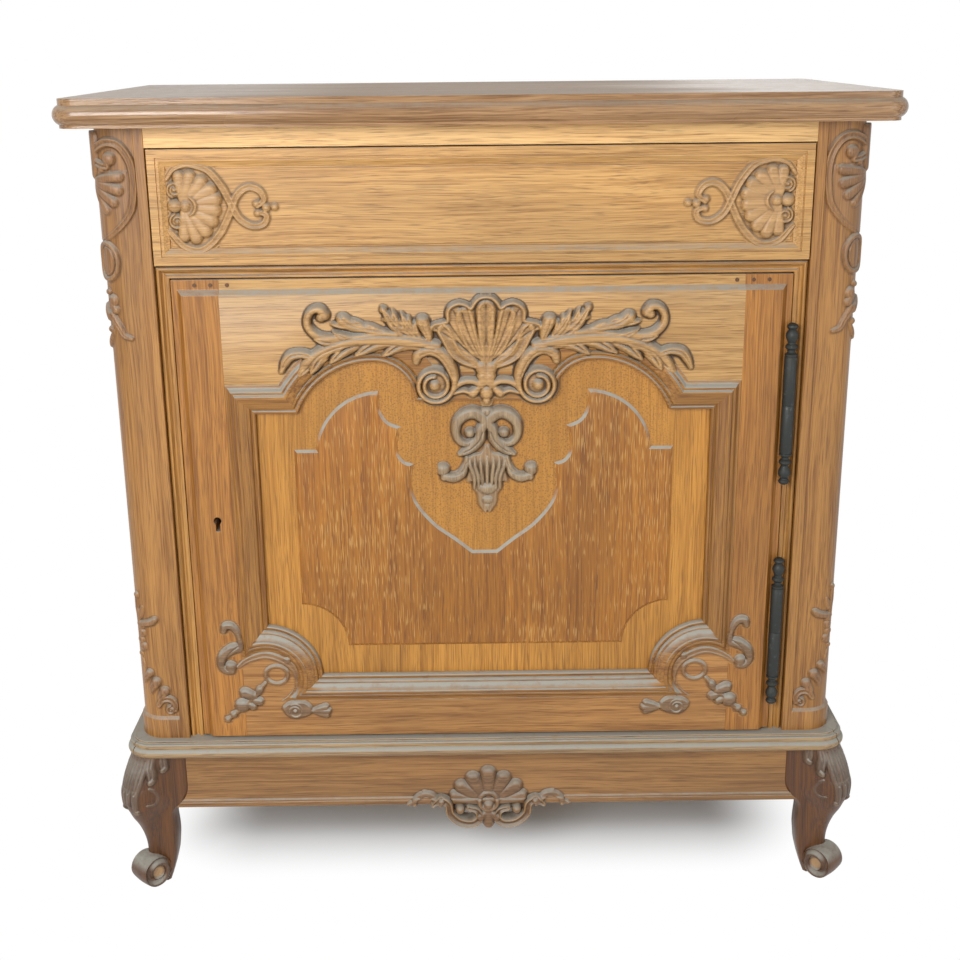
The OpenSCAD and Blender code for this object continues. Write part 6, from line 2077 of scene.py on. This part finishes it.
@dataclass
class Carcass:
    """The boards behind the front, and the lock."""

    # Material slot, finish, width of the eased edges and CAD nodes of each kind of board
    BOARDS = (
        ("oak_carcass", SIDE, 0.7, "back_post_left back_post_right side_panel_left side_panel_right"),
        ("oak_carcass", SIDE_RAIL, 0.7,
         "side_top_rail_left side_top_rail_right side_bottom_rail_left side_bottom_rail_right"),
        ("oak_carcass", INSIDE, 0.7, "back_top_rail back_bottom_rail"),
        ("oak_inside", BACK, 0.4, "back_panel"),
        ("oak_straw", TOP_RAIL, 0.7, "front_top_rail"),
        ("oak_inside", INSIDE, 0.7, "drawer_rail bottom_board shelf"),
        ("oak_inside", INSIDE_DEPTH, 0.7, "shelf_cleats drawer_runner_left drawer_runner_right drawer_kickers"),
        ("oak_base", SIDE_RAIL, 0.7, "side_apron_left side_apron_right"),
        ("oak_base", INSIDE, 0.7, "back_apron"),
    )

    def build(self) -> None:
        """Builds each board with eased edges and dresses the metal."""
        for slot, finish, ease, nodes in self.BOARDS:
            for node in nodes.split():
                eased_board(node, "carcass", finish, ease)
        for node in ("lock_case", "lock_cap", "lock_bolt", "strike_box", "lock_screws"):
            dress(node, STEEL)


@dataclass
class Studio:
    """A pale floor, soft light and the camera at the photograph's place."""

    yaw: float = 0.0069
    pitch: float = 0.305
    roll: float = 0.0096
    focal_px: float = 1400.5
    frame_px: float = 960.0
    aim: tuple = (0.0, 0.0, 0.5)

    # Name, place in metres, width in metres and power in watts of each lamp
    LAMPS = (("key", (-0.8, -2.15, 1.5), 1.1, 41.0), ("fill", (2.0, -2.7, 1.0), 1.8, 17.0),
        ("back", (0.4, 2.6, 2.6), 1.8, 22.0))

    def build(self) -> None:
        """Builds the floor, the lamps, the world and the camera."""
        scene = bpy.context.scene
        scene.view_settings.view_transform = "Standard"
        self.build_floor()
        self.build_world()
        for name, place, size, power in self.LAMPS:
            lamp = bpy.data.lights.new(name, "AREA")
            lamp.shape, lamp.size, lamp.energy = "SQUARE", size, power
            item = bpy.data.objects.new(name, lamp)
            item.location = place
            item.rotation_euler = (Vector(self.aim) - Vector(place)).to_track_quat("-Z", "Y").to_euler()
            scene.collection.objects.link(item)
        self.build_camera()

    def build_camera(self) -> None:
        """Sets the camera from the lines of the photograph, with no shift and no depth of field."""
        cy, sy, cp, sp = (f(a) for a in (self.yaw, self.pitch) for f in (math.cos, math.sin))
        ahead = Vector((sy * cp, cy * cp, -sp))
        right = Vector((cy, -sy, 0))
        down = ahead.cross(right)
        c, s = math.cos(self.roll), math.sin(self.roll)
        right, down = c * right + s * down, -s * right + c * down
        camera = bpy.data.cameras.new("camera")
        camera.sensor_width = 36.0
        camera.lens = self.focal_px / self.frame_px * camera.sensor_width
        camera.clip_start, camera.clip_end = 0.05, 50.0
        item = bpy.data.objects.new("camera", camera)
        turn = Matrix((right, -down, -ahead)).transposed()
        item.matrix_world = Matrix.Translation(Vector(EYE) * MM) @ turn.to_4x4()
        bpy.context.scene.collection.objects.link(item)
        bpy.context.scene.camera = item

    def build_floor(self) -> None:
        """Builds the floor, which keeps the shadow near the object and fades to white further out."""
        mesh = bpy.data.meshes.new("floor")
        mesh.from_pydata([(-12, -12, 0), (12, -12, 0), (12, 12, 0), (-12, 12, 0)], [], [(0, 1, 2, 3)])
        item = bpy.data.objects.new("floor", mesh)
        bpy.context.scene.collection.objects.link(item)
        made = bpy.data.materials.new("pale_matt_floor")
        add = emptied(made)
        # Distance from a rectangle 0.64 m by 0.14 m under the cabinet; 0.16 m outside it the floor is white
        far = add("ShaderNodeTexCoord")["Object"]
        for operation, *more in (("ABSOLUTE",), ("SUBTRACT", (0.32, 0.07, 0.0)), ("MAXIMUM", (0.0, 0.0, 0.0))):
            far = add("ShaderNodeVectorMath", [far, *more], operation=operation)[0]
        far = add("ShaderNodeVectorMath", [far], operation="LENGTH")["Value"]
        far = add("ShaderNodeMapRange", [far, 0.0, 0.16], **SOFT)[0]
        ray = add("ShaderNodeLightPath")
        seen = add("ShaderNodeMath", [ray["Is Camera Ray"], ray["Is Glossy Ray"]], operation="MAXIMUM")[0]
        seen = add("ShaderNodeMath", [seen, far], operation="MULTIPLY")[0]
        matt = add("ShaderNodeBsdfDiffuse", {"Color": "#eff2f4"})[0]
        white = add("ShaderNodeEmission", {"Color": "#ffffff", "Strength": 1.0})[0]
        both = add("ShaderNodeMixShader", [seen, matt, white])[0]
        add("ShaderNodeOutputMaterial", {"Surface": both})
        mesh.materials.append(made)

    def build_world(self) -> None:
        """Makes the world white to the eye and to reflections, and a softer light for the object."""
        world = bpy.data.worlds.new("studio")
        add = emptied(world)
        ray = add("ShaderNodeLightPath")
        seen = ray["Is Camera Ray"]
        for kind in ("Is Transmission Ray", "Is Glossy Ray"):
            seen = add("ShaderNodeMath", [seen, ray[kind]], operation="MAXIMUM")[0]
        strength = add("ShaderNodeMapRange", [seen, 0.0, 1.0, 0.33, 1.0])[0]
        light = add("ShaderNodeBackground", {"Color": "#ffffff", "Strength": strength})[0]
        add("ShaderNodeOutputWorld", {"Surface": light})
        bpy.context.scene.world = world


def main() -> None:
    """Builds the studio and the cabinet piece by piece."""
    logging.basicConfig(level=logging.INFO, format="%(name)s: %(message)s")
    Studio().build()
    runs, turned, pegs = moulding_tree(), turned_tree(), peg_tree()
    TopBoard().build()
    for side, name in SIDES:
        FrontPost(side, name).build()
        Leg(side, name, front=True).build()
        Leg(side, name, front=False).build()
    Surround().build()
    BaseMoulding().build(runs)
    Apron().build()
    Drawer().build()
    Door().build(pegs)
    Hinges().build(turned)
    Carcass().build()


if __name__ == "__main__":
    main()
